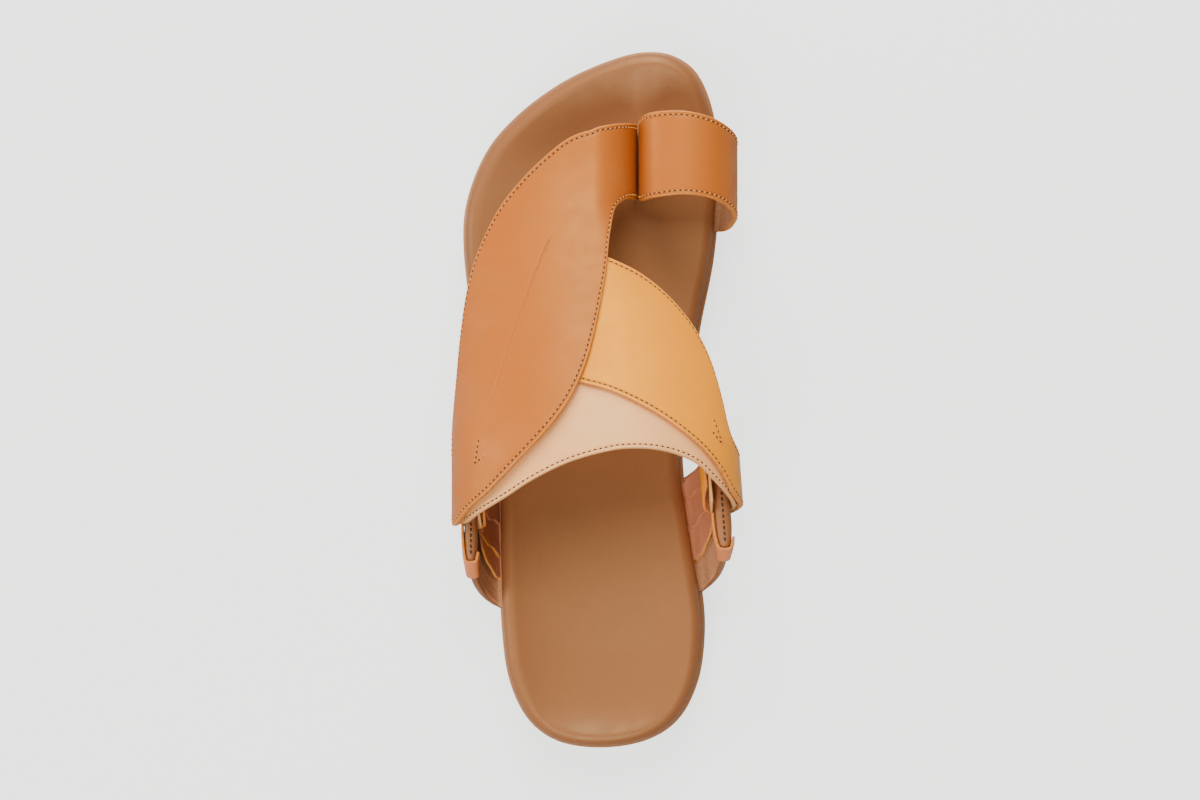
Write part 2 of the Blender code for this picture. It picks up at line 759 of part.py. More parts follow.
def wing_point(side, a, b):
    """Middle of a wing's leather. a: from its rear to its front edge. b: from the sole's edge to the bar."""
    base_rear, base_front, _, _ = WINGS[side]
    bar_rear, bar_front = bar_span(side)
    base_y = y_at(base_rear + (base_front - base_rear) * a)
    bar_y = bar_rear + (bar_front - bar_rear) * a
    base_x = abs(edge_x(base_y, side))
    base_z = midsole_top(base_y) - WING_THICKNESS / 2
    if b < 0:
        return np.array((side * (base_x + b * LASTING_MARGIN), base_y, base_z))
    turn = math.pi / 2 * b
    rise = 1 - math.cos(turn)
    return np.array(
        (
            side * (base_x + (bar_x(side, bar_y) - base_x) * math.sin(turn)),
            base_y + (bar_y - base_y) * rise,
            base_z + (BAR_HEIGHT + BAR_DEPTH / 2 - base_z) * rise,
        )
    )


def wing_normal(side, a, b):
    step = 0.01
    along = wing_point(side, a + step, b) - wing_point(side, a - step, b)
    up = wing_point(side, a, b + step) - wing_point(side, a, max(b - step, 0.0))
    normal = np.cross(along, up)
    normal /= np.linalg.norm(normal)
    return normal if normal[0] * side > 0 else -normal


def rise_share(side, z):
    """The value of b at which the wing's middle reaches height z, halfway along."""
    base = wing_point(side, 0.5, 0.0)[2]
    return math.acos(1 - (z - base) / (BAR_HEIGHT + BAR_DEPTH / 2 - base)) / (math.pi / 2)


def slot_span(side):
    """Values of a and b that bound the slot under the bar."""
    rear, width = anchor(side)
    low = rise_share(side, BAR_HEIGHT - BAR_DEPTH / 2 - SLOT_HEIGHT)
    high = rise_share(side, BAR_HEIGHT - BAR_DEPTH / 2)
    middle = (low + high) / 2
    back, front = wing_point(side, 0.0, middle)[1], wing_point(side, 1.0, middle)[1]
    start = (rear - SLOT_ROOM - back) / (front - back)
    end = (rear + width + SLOT_ROOM - back) / (front - back)
    return start, end, low, high


def side_wing(side):
    start, end, low, high = slot_span(side)
    columns = wing_columns(side)
    heights = [*LASTED_ROWS, *WING_ROWS, low, high, (1 + high) / 2, 1.0]
    grid = [[tuple(wing_point(side, a, b)) for a in columns] for b in heights]
    low_row = heights.index(low)

    def hole(i, j):
        return i == low_row and start - 1e-9 <= columns[j] < end - 1e-9

    return leather(
        f"side_wing_{SIDE_NAMES[side]}",
        grid,
        BAR_THICKNESS,
        DARK_BROWN,
        0.55,
        hole=hole,
        thick_rows={low_row + 1, low_row + 2, low_row + 3},
        thin=WING_THICKNESS / BAR_THICKNESS,
    )


def wing_columns(side):
    """Values of a at which a wing has a column of points, with both ends of the slot among them."""
    start, end, _, _ = slot_span(side)
    rear = [0.0, start * 0.35, start * 0.7]
    return rear + [start + (end - start) * k / 6 for k in range(7)] + [(end + 1) / 2, 1.0]


def wing_pocket(side):
    """Cutter for the room that a wing's lower edge takes between midsole and footbed."""
    grid = []
    for b in LASTED_ROWS:
        row = [wing_point(side, a, b) for a in wing_columns(side)]
        if b == LASTED_ROWS[0]:
            row = [point - (side * FIT_GAP, 0.0, 0.0) for point in row]
        row[0] = row[0] - (0.0, FIT_GAP, 0.0)
        row[-1] = row[-1] + (0.0, FIT_GAP, 0.0)
        grid.append([tuple(point) for point in row])
    return leather(f"wing_pocket_{SIDE_NAMES[side]}", grid, WING_THICKNESS + POCKET_ROOM)


def strip_panel(side):
    """Lapped strips on the inside of a wing: each starts a step above the one in front of it."""
    first, last = STRIP_SPAN
    top = slot_span(side)[2] - STRIP_TOP_GAP
    grid = []
    columns = [(strip, share) for strip in range(STRIP_COUNT) for share in STRIP_SECTION]
    for b in (*STRIP_ROWS, top):
        row = []
        for strip, share in columns:
            t = (strip + share) / STRIP_COUNT
            wave = STRIP_WAVE * math.sin(14 * b + 5 * t)
            a = first + (last - first) * t + STRIP_SLANT * (b - 0.5) + wave
            lift = STRIP_STEP * (1 - share / STRIP_SECTION[-1]) if share > 0 else 0.0
            away = WING_THICKNESS / 2 + STRIP_GAP + STRIP_THICKNESS / 2 + lift
            row.append(tuple(wing_point(side, a, b) - wing_normal(side, a, b) * away))
        grid.append(row)
    return leather(f"strip_panel_{SIDE_NAMES[side]}", grid, STRIP_THICKNESS, RUST, 0.5)


def sleeve(side):
    """Leather folded round the rear upright of a wing."""
    start = slot_span(side)[0]
    away = BAR_THICKNESS / 2 + FIT_GAP + SLEEVE_THICKNESS / 2
    rows = []
    for b, reach in SLEEVE:
        row = []
        for share in (1.0, 0.66, 0.33, 0.0):
            a = start * reach * share
            row.append(wing_point(side, a, b) + wing_normal(side, a, b) * away)
        normal = wing_normal(side, 0.0, b)
        back = wing_point(side, 0.0, b) - wing_point(side, 0.02, b)
        back -= normal * np.dot(normal, back)
        back /= np.linalg.norm(back)
        for angle in FOLD_TURNS:
            turn = math.radians(angle)
            row.append(wing_point(side, 0.0, b) + away * (normal * math.cos(turn) + back * math.sin(turn)))
        for share in (0.0, 0.4, 0.8):
            a = start * 0.45 * share
            row.append(wing_point(side, a, b) - wing_normal(side, a, b) * away)
        rows.append([tuple(point) for point in row])
    return leather(f"sleeve_{SIDE_NAMES[side]}", rows, SLEEVE_THICKNESS, TAN, 0.45)


def build():
    for old in list(bpy.data.objects):
        bpy.data.objects.remove(old)
    bpy.context.scene.collection.children.link(parts)
    bpy.context.scene.collection.children.link(cutters)
    outsole()
    block = midsole()
    bed = footbed()
    cut(bed, toe_slot())
    cut(block, ring_pocket())
    main_strap()
    cross_strap()
    instep_band()
    toe_ring()
    for side in SIDE_NAMES:
        side_wing(side)
        cut(block, wing_pocket(side))
        strip_panel(side)
        sleeve(side)


build()
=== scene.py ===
"""Finish of a left arabic sandal: stitched leather straps and a toe ring on a padded footbed.

Metres, +Y to the toe, +X to the inner (big toe) side, +Z up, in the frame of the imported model.
"""

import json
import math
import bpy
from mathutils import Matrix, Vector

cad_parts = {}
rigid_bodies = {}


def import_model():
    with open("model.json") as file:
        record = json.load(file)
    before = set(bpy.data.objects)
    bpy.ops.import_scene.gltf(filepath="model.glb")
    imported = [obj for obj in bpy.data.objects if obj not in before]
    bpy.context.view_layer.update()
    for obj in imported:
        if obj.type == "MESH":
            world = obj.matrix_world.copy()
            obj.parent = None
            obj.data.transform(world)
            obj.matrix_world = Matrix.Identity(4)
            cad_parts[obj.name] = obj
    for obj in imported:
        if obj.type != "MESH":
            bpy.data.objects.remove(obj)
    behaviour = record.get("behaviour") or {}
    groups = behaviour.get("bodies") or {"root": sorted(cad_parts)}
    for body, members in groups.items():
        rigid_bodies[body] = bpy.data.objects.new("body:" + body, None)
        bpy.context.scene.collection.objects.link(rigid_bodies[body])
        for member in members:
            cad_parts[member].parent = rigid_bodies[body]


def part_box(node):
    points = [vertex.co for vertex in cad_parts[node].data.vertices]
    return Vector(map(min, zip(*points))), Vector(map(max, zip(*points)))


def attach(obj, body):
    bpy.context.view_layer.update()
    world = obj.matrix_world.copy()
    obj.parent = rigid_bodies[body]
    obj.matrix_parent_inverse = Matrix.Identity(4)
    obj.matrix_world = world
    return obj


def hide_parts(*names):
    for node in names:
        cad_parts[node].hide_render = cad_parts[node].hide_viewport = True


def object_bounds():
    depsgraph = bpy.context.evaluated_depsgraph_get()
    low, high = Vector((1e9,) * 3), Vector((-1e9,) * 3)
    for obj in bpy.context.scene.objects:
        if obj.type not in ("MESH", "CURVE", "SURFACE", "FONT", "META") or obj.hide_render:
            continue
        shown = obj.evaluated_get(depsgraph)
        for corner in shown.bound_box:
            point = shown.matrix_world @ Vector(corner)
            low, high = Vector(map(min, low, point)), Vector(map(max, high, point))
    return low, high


bl_info = {
    "name": "Arabic sandal",
    "version": (1, 0, 0),
    "blender": (4, 5, 0),
    "location": "3D View > Sidebar > Sandal",
    "description": "Builds the leather, stitches and sole of a left sandal round its packed frame",
    "category": "Add Mesh",
}

import bmesh
import bpy
import numpy as np
from bpy.props import FloatProperty, FloatVectorProperty, IntProperty, PointerProperty
from bpy.types import Operator, Panel, PropertyGroup
from mathutils import Matrix, Vector

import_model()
CAD_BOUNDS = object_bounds()
LOW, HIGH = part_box("midsole")

SIDES = {-1: "lateral", 1: "medial"}
MM = 0.001

# Outline of the sole. along: share of the length from the heel end. out: share of half the named width.
OUTLINE = (
    # along, out, width
    (0.0000, -0.02, "heel_width"),
    (0.0110, 0.43, "heel_width"),
    (0.0420, 0.745, "heel_width"),
    (0.0970, 0.934, "heel_width"),
    (0.1610, 0.995, "heel_width"),
    (0.2220, 0.973, "heel_width"),
    (0.3220, 0.939, "waist_width"),
    (0.4150, 0.851, "waist_width"),
    (0.5040, 0.920, "waist_width"),
    (0.6080, 0.761, "ball_width"),
    (0.7080, 0.866, "ball_width"),
    (0.8150, 0.907, "ball_width"),
    (0.9040, 0.870, "ball_width"),
    (0.9650, 0.750, "ball_width"),
    (0.9935, 0.563, "ball_width"),
    (1.0000, 0.330, "ball_width"),
    (0.9885, 0.054, "ball_width"),
    (0.9590, -0.311, "ball_width"),
    (0.9135, -0.660, "ball_width"),
    (0.8590, -0.922, "ball_width"),
    (0.7860, -1.080, "ball_width"),
    (0.7150, -1.103, "ball_width"),
    (0.6110, -1.033, "ball_width"),
    (0.4935, -1.259, "waist_width"),
    (0.3790, -1.147, "waist_width"),
    (0.2685, -1.125, "waist_width"),
    (0.1720, -1.002, "heel_width"),
    (0.0990, -0.932, "heel_width"),
    (0.0420, -0.751, "heel_width"),
    (0.0093, -0.451, "heel_width"),
)

# Side view of the sole. spring, relief and lift: shares of the toe spring, of the arch relief and of how much
# the heel is higher than the ball.
PROFILE = (
    # along, spring, relief, lift
    (0.00, 0.20, 0.00, 1.00),
    (0.05, 0.00, 0.00, 1.00),
    (0.22, 0.00, 0.00, 1.00),
    (0.30, 0.00, 0.75, 0.93),
    (0.37, 0.00, 1.00, 0.75),
    (0.45, 0.00, 0.60, 0.48),
    (0.52, 0.00, 0.00, 0.25),
    (0.60, 0.00, 0.00, 0.08),
    (0.70, 0.00, 0.00, 0.00),
    (0.80, 0.00, 0.00, 0.00),
    (0.88, 0.22, 0.00, 0.00),
    (0.95, 0.62, 0.00, 0.00),
    (1.00, 1.00, 0.00, 0.00),
)

# Line down the middle of the sole: share of half of the ball width
SPINE = (
    # along, out
    (0.144, 0.00),
    (0.400, -0.11),
    (0.720, -0.11),
    (0.847, 0.00),
)

# The last under the straps. crest_x: share of half the ball width. crest_z: of the instep height. The reaches
# are shares of where the straps pass the bars, the hems of the bar height. fold: how far the inner side has
# turned down to the slot between the toes.
LAST = (
    # along, crest_x, crest_z, lateral_reach, lateral_hem, medial_reach, medial_hem, fold
    (0.286, 0.135, 1.000, 1.00, 1.00, 1.00, 1.00, 0.00),
    (0.358, 0.115, 1.000, 1.00, 1.00, 1.00, 1.00, 0.00),
    (0.429, 0.080, 0.975, 1.00, 1.00, 1.00, 1.00, 0.00),
    (0.501, 0.040, 0.910, 1.01, 0.86, 0.97, 0.92, 0.00),
    (0.590, -0.020, 0.805, 1.02, 0.68, 0.87, 0.76, 0.00),
    (0.679, -0.050, 0.695, 1.02, 0.56, 0.70, 0.62, 0.12),
    (0.733, -0.060, 0.625, 1.00, 0.50, 0.62, 0.52, 0.60),
    (0.779, -0.060, 0.570, 0.98, 0.47, 0.58, 0.48, 1.00),
    (0.840, -0.060, 0.528, 0.93, 0.46, 0.55, 0.48, 1.00),
    (0.910, -0.060, 0.510, 0.82, 0.46, 0.52, 0.48, 1.00),
)

# Strap edges on the last. turn: degrees from the crest, outer side negative. along: share of the length.
MAIN_STRAP = (
    # rear_turn, rear_along, front_turn, front_along
    (-80.0, 0.3235, -86.5, 0.440),
    (-70.0, 0.331, -82.0, 0.464),
    (-60.0, 0.348, -77.0, 0.490),
    (-47.0, 0.373, -71.0, 0.535),
    (-35.0, 0.409, -66.5, 0.584),
    (-22.5, 0.452, -62.0, 0.633),
    (-14.5, 0.486, -56.0, 0.683),
    (-8.0, 0.523, -48.5, 0.731),
    (-3.0, 0.562, -40.0, 0.775),
    (1.0, 0.606, -31.0, 0.810),
    (5.5, 0.655, -21.0, 0.842),
    (11.0, 0.705, -10.0, 0.8695),
    (19.0, 0.742, 3.0, 0.8820),
    (32.0, 0.769, 20.0, 0.8870),
    (50.0, 0.782, 44.0, 0.8908),
    (70.0, 0.785, 68.0, 0.8925),
    (90.0, 0.785, 90.0, 0.8928),
)
CROSS_STRAP = (
    (-21.0, 0.538, -12.0, 0.716),
    (-8.0, 0.524, 3.0, 0.706),
    (4.0, 0.512, 17.0, 0.693),
    (16.0, 0.495, 30.0, 0.676),
    (28.0, 0.474, 42.0, 0.650),
    (40.0, 0.449, 52.0, 0.612),
    (51.0, 0.424, 61.0, 0.563),
    (61.0, 0.398, 66.5, 0.508),
    (73.0, 0.367, 74.0, 0.450),
)
INSTEP_BAND = (
    (-74.0, 0.328, -74.0, 0.445),
    (-59.0, 0.343, -58.0, 0.475),
    (-44.0, 0.364, -43.0, 0.505),
    (-30.0, 0.390, -28.0, 0.535),
    (-15.0, 0.414, -14.0, 0.560),
    (0.0, 0.429, 0.0, 0.575),
    (12.0, 0.433, 12.0, 0.575),
    (24.0, 0.431, 24.0, 0.560),
    (36.0, 0.423, 36.0, 0.535),
    (48.0, 0.409, 48.0, 0.505),
    (60.0, 0.386, 60.0, 0.475),
    (76.0, 0.364, 75.0, 0.445),
)

# Toe ring, from the slot over the big toe. across: share of its span. rise: share of its height over the bed.
TOE_RING = (
    # across, rise, rear_along, front_along
    (0.00, 0.18, 0.785, 0.894),
    (0.02, 0.58, 0.782, 0.901),
    (0.15, 0.88, 0.785, 0.9065),
    (0.45, 1.00, 0.789, 0.9075),
    (0.72, 0.93, 0.785, 0.900),
    (0.91, 0.70, 0.774, 0.887),
    (1.00, 0.40, 0.759, 0.873),
    (0.95, 0.08, 0.747, 0.861),
)
RING_FOOT = (0.742, 0.856)  # rear and front edge where it enters the sole, shares of the length
# Its last rows, from outside the sole's edge in under the footbed: shares of the lasting margin
RING_HEM = (
    # out, rise
    (0.40, 0.58),
    (0.11, 0.11),
    (-0.40, 0.00),
    (-1.00, 0.00),
)

# Where each wing leaves the sole, in shares of the length, and its uprights, in shares of the upright's
# width. sweep: how soon its ends run to the bar. bulge: how far it stands out under the bar.
WINGS = {
    # side: base_rear, base_front, rear_upright, front_upright, sweep, bulge
    -1: (0.200, 0.385, 0.76, 0.70, 0.25, 0.14),
    1: (0.224, 0.388, 0.76, 0.66, 0.40, 0.00),
}
# Thickness of the padded bars from the rear to the front end, as shares of the full one
BAR_SHAPE = (
    # along, thickness
    (0.00, 0.55),
    (0.08, 0.85),
    (0.22, 1.00),
    (0.45, 0.92),
    (0.80, 0.85),
    (1.00, 0.55),
)
# Sleeves on the rear uprights. up: share of the wing. The others: shares of the upright covered on each side.
SLEEVES = {
    -1: (
        # up, outside, inside
        (0.790, 0.30, 0.12),
        (0.850, 0.62, 0.24),
        (0.905, 0.86, 0.30),
        (0.950, 0.92, 0.28),
        (0.985, 0.86, 0.20),
    ),
    1: (
        (0.790, 0.14, 0.40),
        (0.850, 0.26, 0.70),
        (0.905, 0.32, 0.92),
        (0.950, 0.32, 0.98),
        (0.985, 0.24, 0.92),
    ),
}
# Strap ends inside the bars, in mm. rise: over the bar's underside. inward: away from the bar. ahead: how far
# the rear edge has moved forward.
TAILS = {
    # strap: rows of rise, inward, ahead
    "band": ((3.0, 0.2, 0.2), (7.0, 0.2, 1.8), (12.0, 0.0, 5.0)),
    "main": ((3.0, 0.5, 0.2), (7.0, 0.7, 1.6), (12.0, 0.8, 5.0)),
    "cross": ((3.0, 1.6, 1.5), (7.0, 1.8, 6.0), (12.0, 0.6, 11.0)),
}
WRAP_DRIFT = 1.6 * MM  # how far a strap's rear edge runs back again under the bar
UPPER_TAIL = 1.65  # from the bar to the middle of an upper strap's tail, in pared thicknesses
CORNER_SETBACK = 2.6 * MM  # how far back a strap's rear edge swings on its way down outside the bar
# Line pressed into the main strap, from its upper to its lower end: turn and along
PRESSED_LINE = ((-16.4, 0.726), (-43.0, 0.505))
PRESSED_COLUMNS = 0.3 * MM * np.arange(-4, 5)  # lines of points along it
TROUGH_WIDTH = 0.42 * MM  # of the pressed line and of the trough that the stitches pull into the leather
PRESSED_ROOM = 2 * MM  # least distance of the pressed line from the stitches' lines of points
PRESSED_FADE = 0.02  # part of its length over which the pressed line runs out
SEAM_STEP = 0.3 * MM  # between lines of points over the stitches
EDGE_PART = 0.8  # of the rounding that shows as cut edge
LEAN = (0.10, 0.05)  # turn of the stitches across their line: on average, and how much it varies
HOLE_LIFT = 0.11 * MM  # of the pinholes over the trough
THREAD_LIFT = 0.55  # of the stitches over the trough, in halves of the thread's thickness
ROUNDING_TURNS = (0, 25, 50, 70, 90)  # degrees at which a strap's rounded edge has a line of points
SHOULDER_TURNS = (12, 24, 36, 48, 58, 68, 78, 86, 90)  # the same on the footbed's shoulder
END_TURNS = (0, 30, 60, 90)  # the same on strips and sleeves
WING_EDGE = MM * np.array((0.0, 0.10, 0.32, 0.64, 1.00, 1.60))  # lines of points from a wing's edges
# Short rows of stitches that hold a strap's end to its lining: turn and place along of each corner
TACKS = {
    "main": ((-51.0, 0.443), (-53.2, 0.413), (-46.4, 0.425)),
    "cross": ((57.1, 0.471), (61.4, 0.438), (55.2, 0.454)),
}
FOLD_TURNS = (35, 70, 110, 145)  # degrees at which a fold has a row of points

# Hollows that the toes leave. x and half_width: shares of half the ball width. The others: of the length.
HOLLOWS = (
    # x, along, half_width, half_length
    (0.47, 0.915, 0.30, 0.052),
    (-0.38, 0.868, 0.45, 0.055),
)
HEEL_CUP_SPAN = (0.14, 0.42)  # the heel cup is full behind the first place along and ends at the second

# Rear cut edges of the lapped strips on each wing, as shares of the wing's width at the sole and at the slot.
# The last pair is where the last strip ends in front.
STRIP_EDGES = {
    -1: ((0.200, 0.215), (0.40, 0.34), (0.64, 0.57), (0.90, 0.94)),
    1: ((0.250, 0.290), (0.566, 0.505), (0.80, 0.735), (0.90, 0.94)),
}
RAW_EDGES = {-1: 2, 1: 1}  # strips whose cut edge is left raw
STRIP_LAP = 0.05  # how far a strip goes on under the next one, as a share of the wing's width
STRIP_GRID = (48, 24)  # rows and columns of points of a strip
# Waves of the strips' cut edges. size: share of the wing's width. turn: over a strip's length, in radians.
# shift: from one strip to the next.
STRIP_WAVES = (
    # size, turn, shift
    (0.016, 8.5, 2.1),
    (0.007, 21.0, 1.0),
)
PLEAT_DEPTH = 0.34 * MM  # of the small pleats in the wings' lining
PLEATED_PART = 0.55  # of a wing's width, from its rear edge
SLEEVE_POINTS = (9, 13, 7)  # across a sleeve: outside, round the upright's rear edge, inside

# Side of the outsole, down from its top. inset: mm from its outline. up: share of its thickness.
OUTSOLE_SIDE = (
    # inset, up
    (0.1, 0.97), (0.0, 0.90), (0.0, 0.66), (0.35, 0.60), (0.35, 0.54), (0.0, 0.48),
    (0.0, 0.30), (0.35, 0.24), (0.35, 0.18), (0.0, 0.12), (0.1, 0.04), (0.5, 0.0),
)
# Two grooves under the outsole: mm from its outline, and mm deep
GROOVES = ((5.0, 0.0), (5.3, 0.6), (6.2, 0.6), (6.5, 0.0), (9.0, 0.0), (9.3, 0.6), (10.2, 0.6), (10.5, 0.0))
# Side of the midsole, down from its top. inset: share of its rounding. up: share of its height.
MIDSOLE_SIDE = (
    # inset, up
    (1.0, 1.0), (0.62, 0.985), (0.30, 0.95), (0.08, 0.88), (0.0, 0.78), (0.0, 0.55),
    (0.0, 0.30), (0.08, 0.18), (0.35, 0.08), (0.7, 0.02), (1.0, 0.0),
)

# Finishes of the straps, and the part of their length that is stitched
STRAPS = {
    # node: slot, face, lining, cut edge, thread, first, last
    "instep_band": ("beige_leather", "beige_hide", "beige_hide", "beige_hide", "beige_thread", 0.08, 0.92),
    "cross_strap": ("ochre_leather", "ochre_hide", "soft_lining", "cut_edge_paint", "waxed_thread", 0.03, 0.90),
    "main_strap": ("tan_leather", "tan_hide", "soft_lining", "cut_edge_paint", "waxed_thread", 0.09, 0.93),
    "toe_ring": ("tan_leather", "tan_hide", "soft_lining", "cut_edge_paint", "waxed_thread", 0.16, 0.88),
}
# Dyed leathers. deep, light and edge: colours, or shares of the first one. patch: size of the cloudy places.
# gleam: tint of the light that it throws back.
WARM_GLEAM = (1.0, 0.80, 0.36)
LEATHERS = {
    # material: colour, deep, light, edge, roughness, grain, patch, gleam
    "tan_hide": ("tan", "tan_deep", "tan_light", "cut_edge", 0.42, 0.10, 0.045, (1.0, 0.80, 0.24)),
    "ochre_hide": ("ochre", "ochre_deep", 1.12, "ochre_edge", 0.42, 0.10, 0.050, (1.0, 0.76, 0.10)),
    "beige_hide": ("beige", 0.86, 1.08, 0.80, 0.42, 0.10, 0.040, WARM_GLEAM),
    "footbed_hide": ("footbed", 0.82, 1.12, None, 0.44, 0.08, 0.060, WARM_GLEAM),
    "wrap_hide": ("wrap", 0.82, 1.12, None, 0.46, 0.14, 0.030, WARM_GLEAM),
    "wing_hide": ("wing", 0.82, 1.12, None, 0.44, 0.10, 0.030, WARM_GLEAM),
    "strip_hide": ("strip", 0.82, 1.12, None, 0.45, 0.10, 0.030, WARM_GLEAM),
    # The sleeves' tan is lighter and pinker than the straps' tan: painted sheen.
    "sleeve_hide": ("sleeve", 0.82, 1.12, None, 0.42, 0.10, 0.030, WARM_GLEAM),
}
# Linings, painted edges, threads and rubber. scale: of the fibres. strength: of their bump.
FIBRES = {
    # material: colour, roughness, scale, strength
    "soft_lining": ("lining", 0.80, 1500.0, 0.35),
    "cut_edge_paint": ("cut_edge", 0.45, 900.0, 0.20),
    "yellow_cut_edge": ("yellow_edge", 0.65, 1400.0, 0.35),
    "waxed_thread": ("thread", 0.50, 5200.0, 0.35),
    "brown_thread": ("brown_thread", 0.50, 5200.0, 0.35),
    "beige_thread": ("beige", 0.50, 5200.0, 0.35),
    "pinhole_shade": ("hole", 0.90, 2600.0, 0.35),
    "sole_rubber": ("rubber", 0.70, 1800.0, 0.25),
}
GREY = (0.5, 0.5, 0.5, 1.0)  # what a colour socket holds while nothing is linked to it
PEBBLE_SIZE = 0.9 * MM  # of the leathers' grain
CREASE_STEP = 1 / 130  # between hair creases, in metres
SEAM_SHADE_PLACE = 1.7  # mm from a cut edge at which the painted shade along the stitch trough is darkest
WORN_WIDTH = 0.9  # mm of a cut edge that wear may reach

FLOOR_HALF = 9.0  # half of the floor's width
LIT_PLACE = Vector((0.0, 0.1, 0.03))  # what the softboxes point at
AIM_HEIGHT = 0.018  # what the camera points at, over the floor


def length(name, description, default):
    return FloatProperty(name=name, description=description, default=default, unit="LENGTH", precision=5)


def share(name, description, default):
    return FloatProperty(name=name, description=description, default=default, subtype="FACTOR", soft_max=1.0)


def seen_colour(name, description, red, green, blue):
    """A colour property whose default is given as it is seen, from 0 to 255."""
    linear = [((value / 255 + 0.055) / 1.055) ** 2.4 for value in (red, green, blue)]
    return FloatVectorProperty(name=name, description=description, default=linear, subtype="COLOR", min=0, max=1)


class SoleSizes(PropertyGroup):
    """Sizes of the sole and the footbed"""

    shoe_length: length("Shoe length", "Outer length of the sole", 0.280)
    ball_width: length("Ball width", "Widest place of the forefoot", 0.103)
    waist_width: length("Waist width", "Width of the sole under the arch", 0.075)
    heel_width: length("Heel width", "Widest place of the heel", 0.082)
    heel_back: length("Heel back", "From the origin back to the end of the heel", -LOW.y)
    heel_height: length("Heel height", "Top of the footbed over the floor at the heel", 0.026)
    ball_height: length("Ball height", "Top of the footbed over the floor at the ball", 0.020)
    toe_spring: length("Toe spring", "How far the tip of the sole is off the floor", 0.006)
    arch_relief: length("Arch relief", "How far the waist of the sole is off the floor", 0.002)
    outsole_thickness: length("Outsole thickness", "Rubber under the shoe", 0.004)
    outsole_inset: length("Outsole inset", "Step from the midsole's edge in to the outsole", 0.0018)
    midsole_round: length("Midsole rounding", "Rounding of the wrapped edge", 0.0014)
    footbed_thickness: length("Footbed thickness", "Padded leather footbed", 0.007)
    footbed_ledge: length("Footbed ledge", "Step from the midsole's edge in to the footbed", 0.0014)
    shoulder_width: length("Shoulder width", "Plan width of the footbed's rounded edge", 0.0046)
    shoulder_drop: length("Shoulder drop", "Height of the footbed's rounded edge", 0.0048)
    rim_rise: length("Rim rise", "How far the rim stands over the middle", 0.0016)
    heel_cup: length("Heel cup", "Depth of the heel seat", 0.0022)
    toe_hollow: length("Toe hollow", "Depth of the hollows under the toes", 0.0022)
    fit_gap: length("Fit gap", "Between pieces that lie on each other", 0.0003)


class StrapSizes(PropertyGroup):
    """Sizes of the straps and the toe ring"""

    strap_thickness: length("Strap thickness", "Lined leather of the main strap", 0.0022)
    band_thickness: length("Band thickness", "Leather of the instep band and the cross strap", 0.0018)
    ring_thickness: length("Ring thickness", "Leather of the toe ring", 0.0020)
    layer_gap: length("Layer gap", "Between straps that cross", 0.0007)
    instep_height: length("Instep height", "Underside of the band at its crest over the floor", 0.083)
    anchor_lateral: share("Outer anchor", "Rear edge of the straps at the outer bar, of the length", 0.322)
    anchor_medial: share("Inner anchor", "Rear edge of the straps at the inner bar, of the length", 0.341)
    anchor_width: length("Outer anchor width", "Width of the straps at the outer bar", 0.029)
    anchor_medial_width: length("Inner anchor width", "Width of the straps at the inner bar", 0.024)
    wrap_drop: length("Wrap drop", "From the bar's underside to the lowest strap's turn", 0.0014)
    wrap_gap: length("Wrap gap", "Between a bar's inner face and the lowest strap's tail", 0.0004)
    skived: length("Skived end", "Thickness of the pared strap ends in the bars", 0.0011)
    toe_slot_x: length("Toe slot", "Place of the slot between the first two toes", 0.0142)
    toe_slot_depth: length("Toe slot depth", "How deep the leathers go into the footbed", 0.005)
    toe_post_rear: share("Toe post rear", "Rear edge of the toe post, of the length", 0.788)
    toe_post_width: length("Toe post width", "Width of the leathers in the slot", 0.026)
    ring_span: length("Ring span", "Width of the toe ring", 0.0375)
    ring_rise: length("Ring rise", "Height of the toe ring over the footbed", 0.0262)
    lasting_margin: length("Lasting margin", "Leather held between midsole and footbed", 0.0055)


class WingSizes(PropertyGroup):
    """Sizes of the side wings and of what is laid on them"""

    bar_height: length("Bar height", "Middle of the bars over the floor", 0.054)
    bar_lateral_x: length("Outer bar", "Distance of the outer bar from the centre line", 0.0505)
    bar_medial_x: length("Inner bar", "Distance of the inner bar from the centre line", 0.0484)
    bar_toe_in: FloatProperty(name="Bar toe-in", description="Slope of the inner bar", default=0.07)
    bar_lateral: length("Outer bar thickness", "Folded leather over the outer slot", 0.0052)
    bar_medial: length("Inner bar thickness", "Folded leather over the inner slot", 0.0066)
    bar_depth: length("Bar depth", "Height of the folded bar", 0.0055)
    wing_thickness: length("Wing thickness", "Lined leather of a wing", 0.0026)
    upright_width: length("Upright width", "From the slot to the end of the bar", 0.0135)
    slot_room: length("Slot room", "Beside the straps in the slot", 0.0022)
    slot_height: length("Slot height", "Opening under the bar", 0.0082)
    lateral_slack: length("Outer slack", "Room between the outer bar and the straps", 0.0004)
    medial_slack: length("Inner slack", "Room between the inner bar and the straps", 0.0003)
    strip_thickness: length("Strip thickness", "One lapped strip", 0.0010)
    strip_step: length("Strip step", "How far a strip stands over the one behind it", 0.0011)
    strip_gap: length("Strip gap", "Between the wing and the strips", 0.0004)
    sleeve_thickness: length("Sleeve thickness", "Leather folded round the upright", 0.0011)


class FinishSizes(PropertyGroup):
    """Sizes of stitches, cut edges and grain"""

    edge_round: length("Edge rounding", "Rounding of a cut edge", 0.0006)
    stitch_inset: length("Stitch inset", "From a cut edge to the stitches", 0.0017)
    stitch_pitch: length("Stitch pitch", "From one stitch to the next", 0.0022)
    thread_radius: length("Thread radius", "Half of the thread's thickness", 0.00031)
    hole_radius: length("Hole radius", "Half of a pinhole's width", 0.00032)
    pressed_depth: length("Pressed depth", "Depth of the line pressed into the main strap", 0.0005)
    groove_depth: length("Groove depth", "How far the stitches pull the leather in", 0.00018)
    mesh_step: length("Mesh step", "Largest distance between points along a strap", 0.0016)
    across_count: IntProperty(name="Across", description="Lines of points across a strap", default=22, min=4)


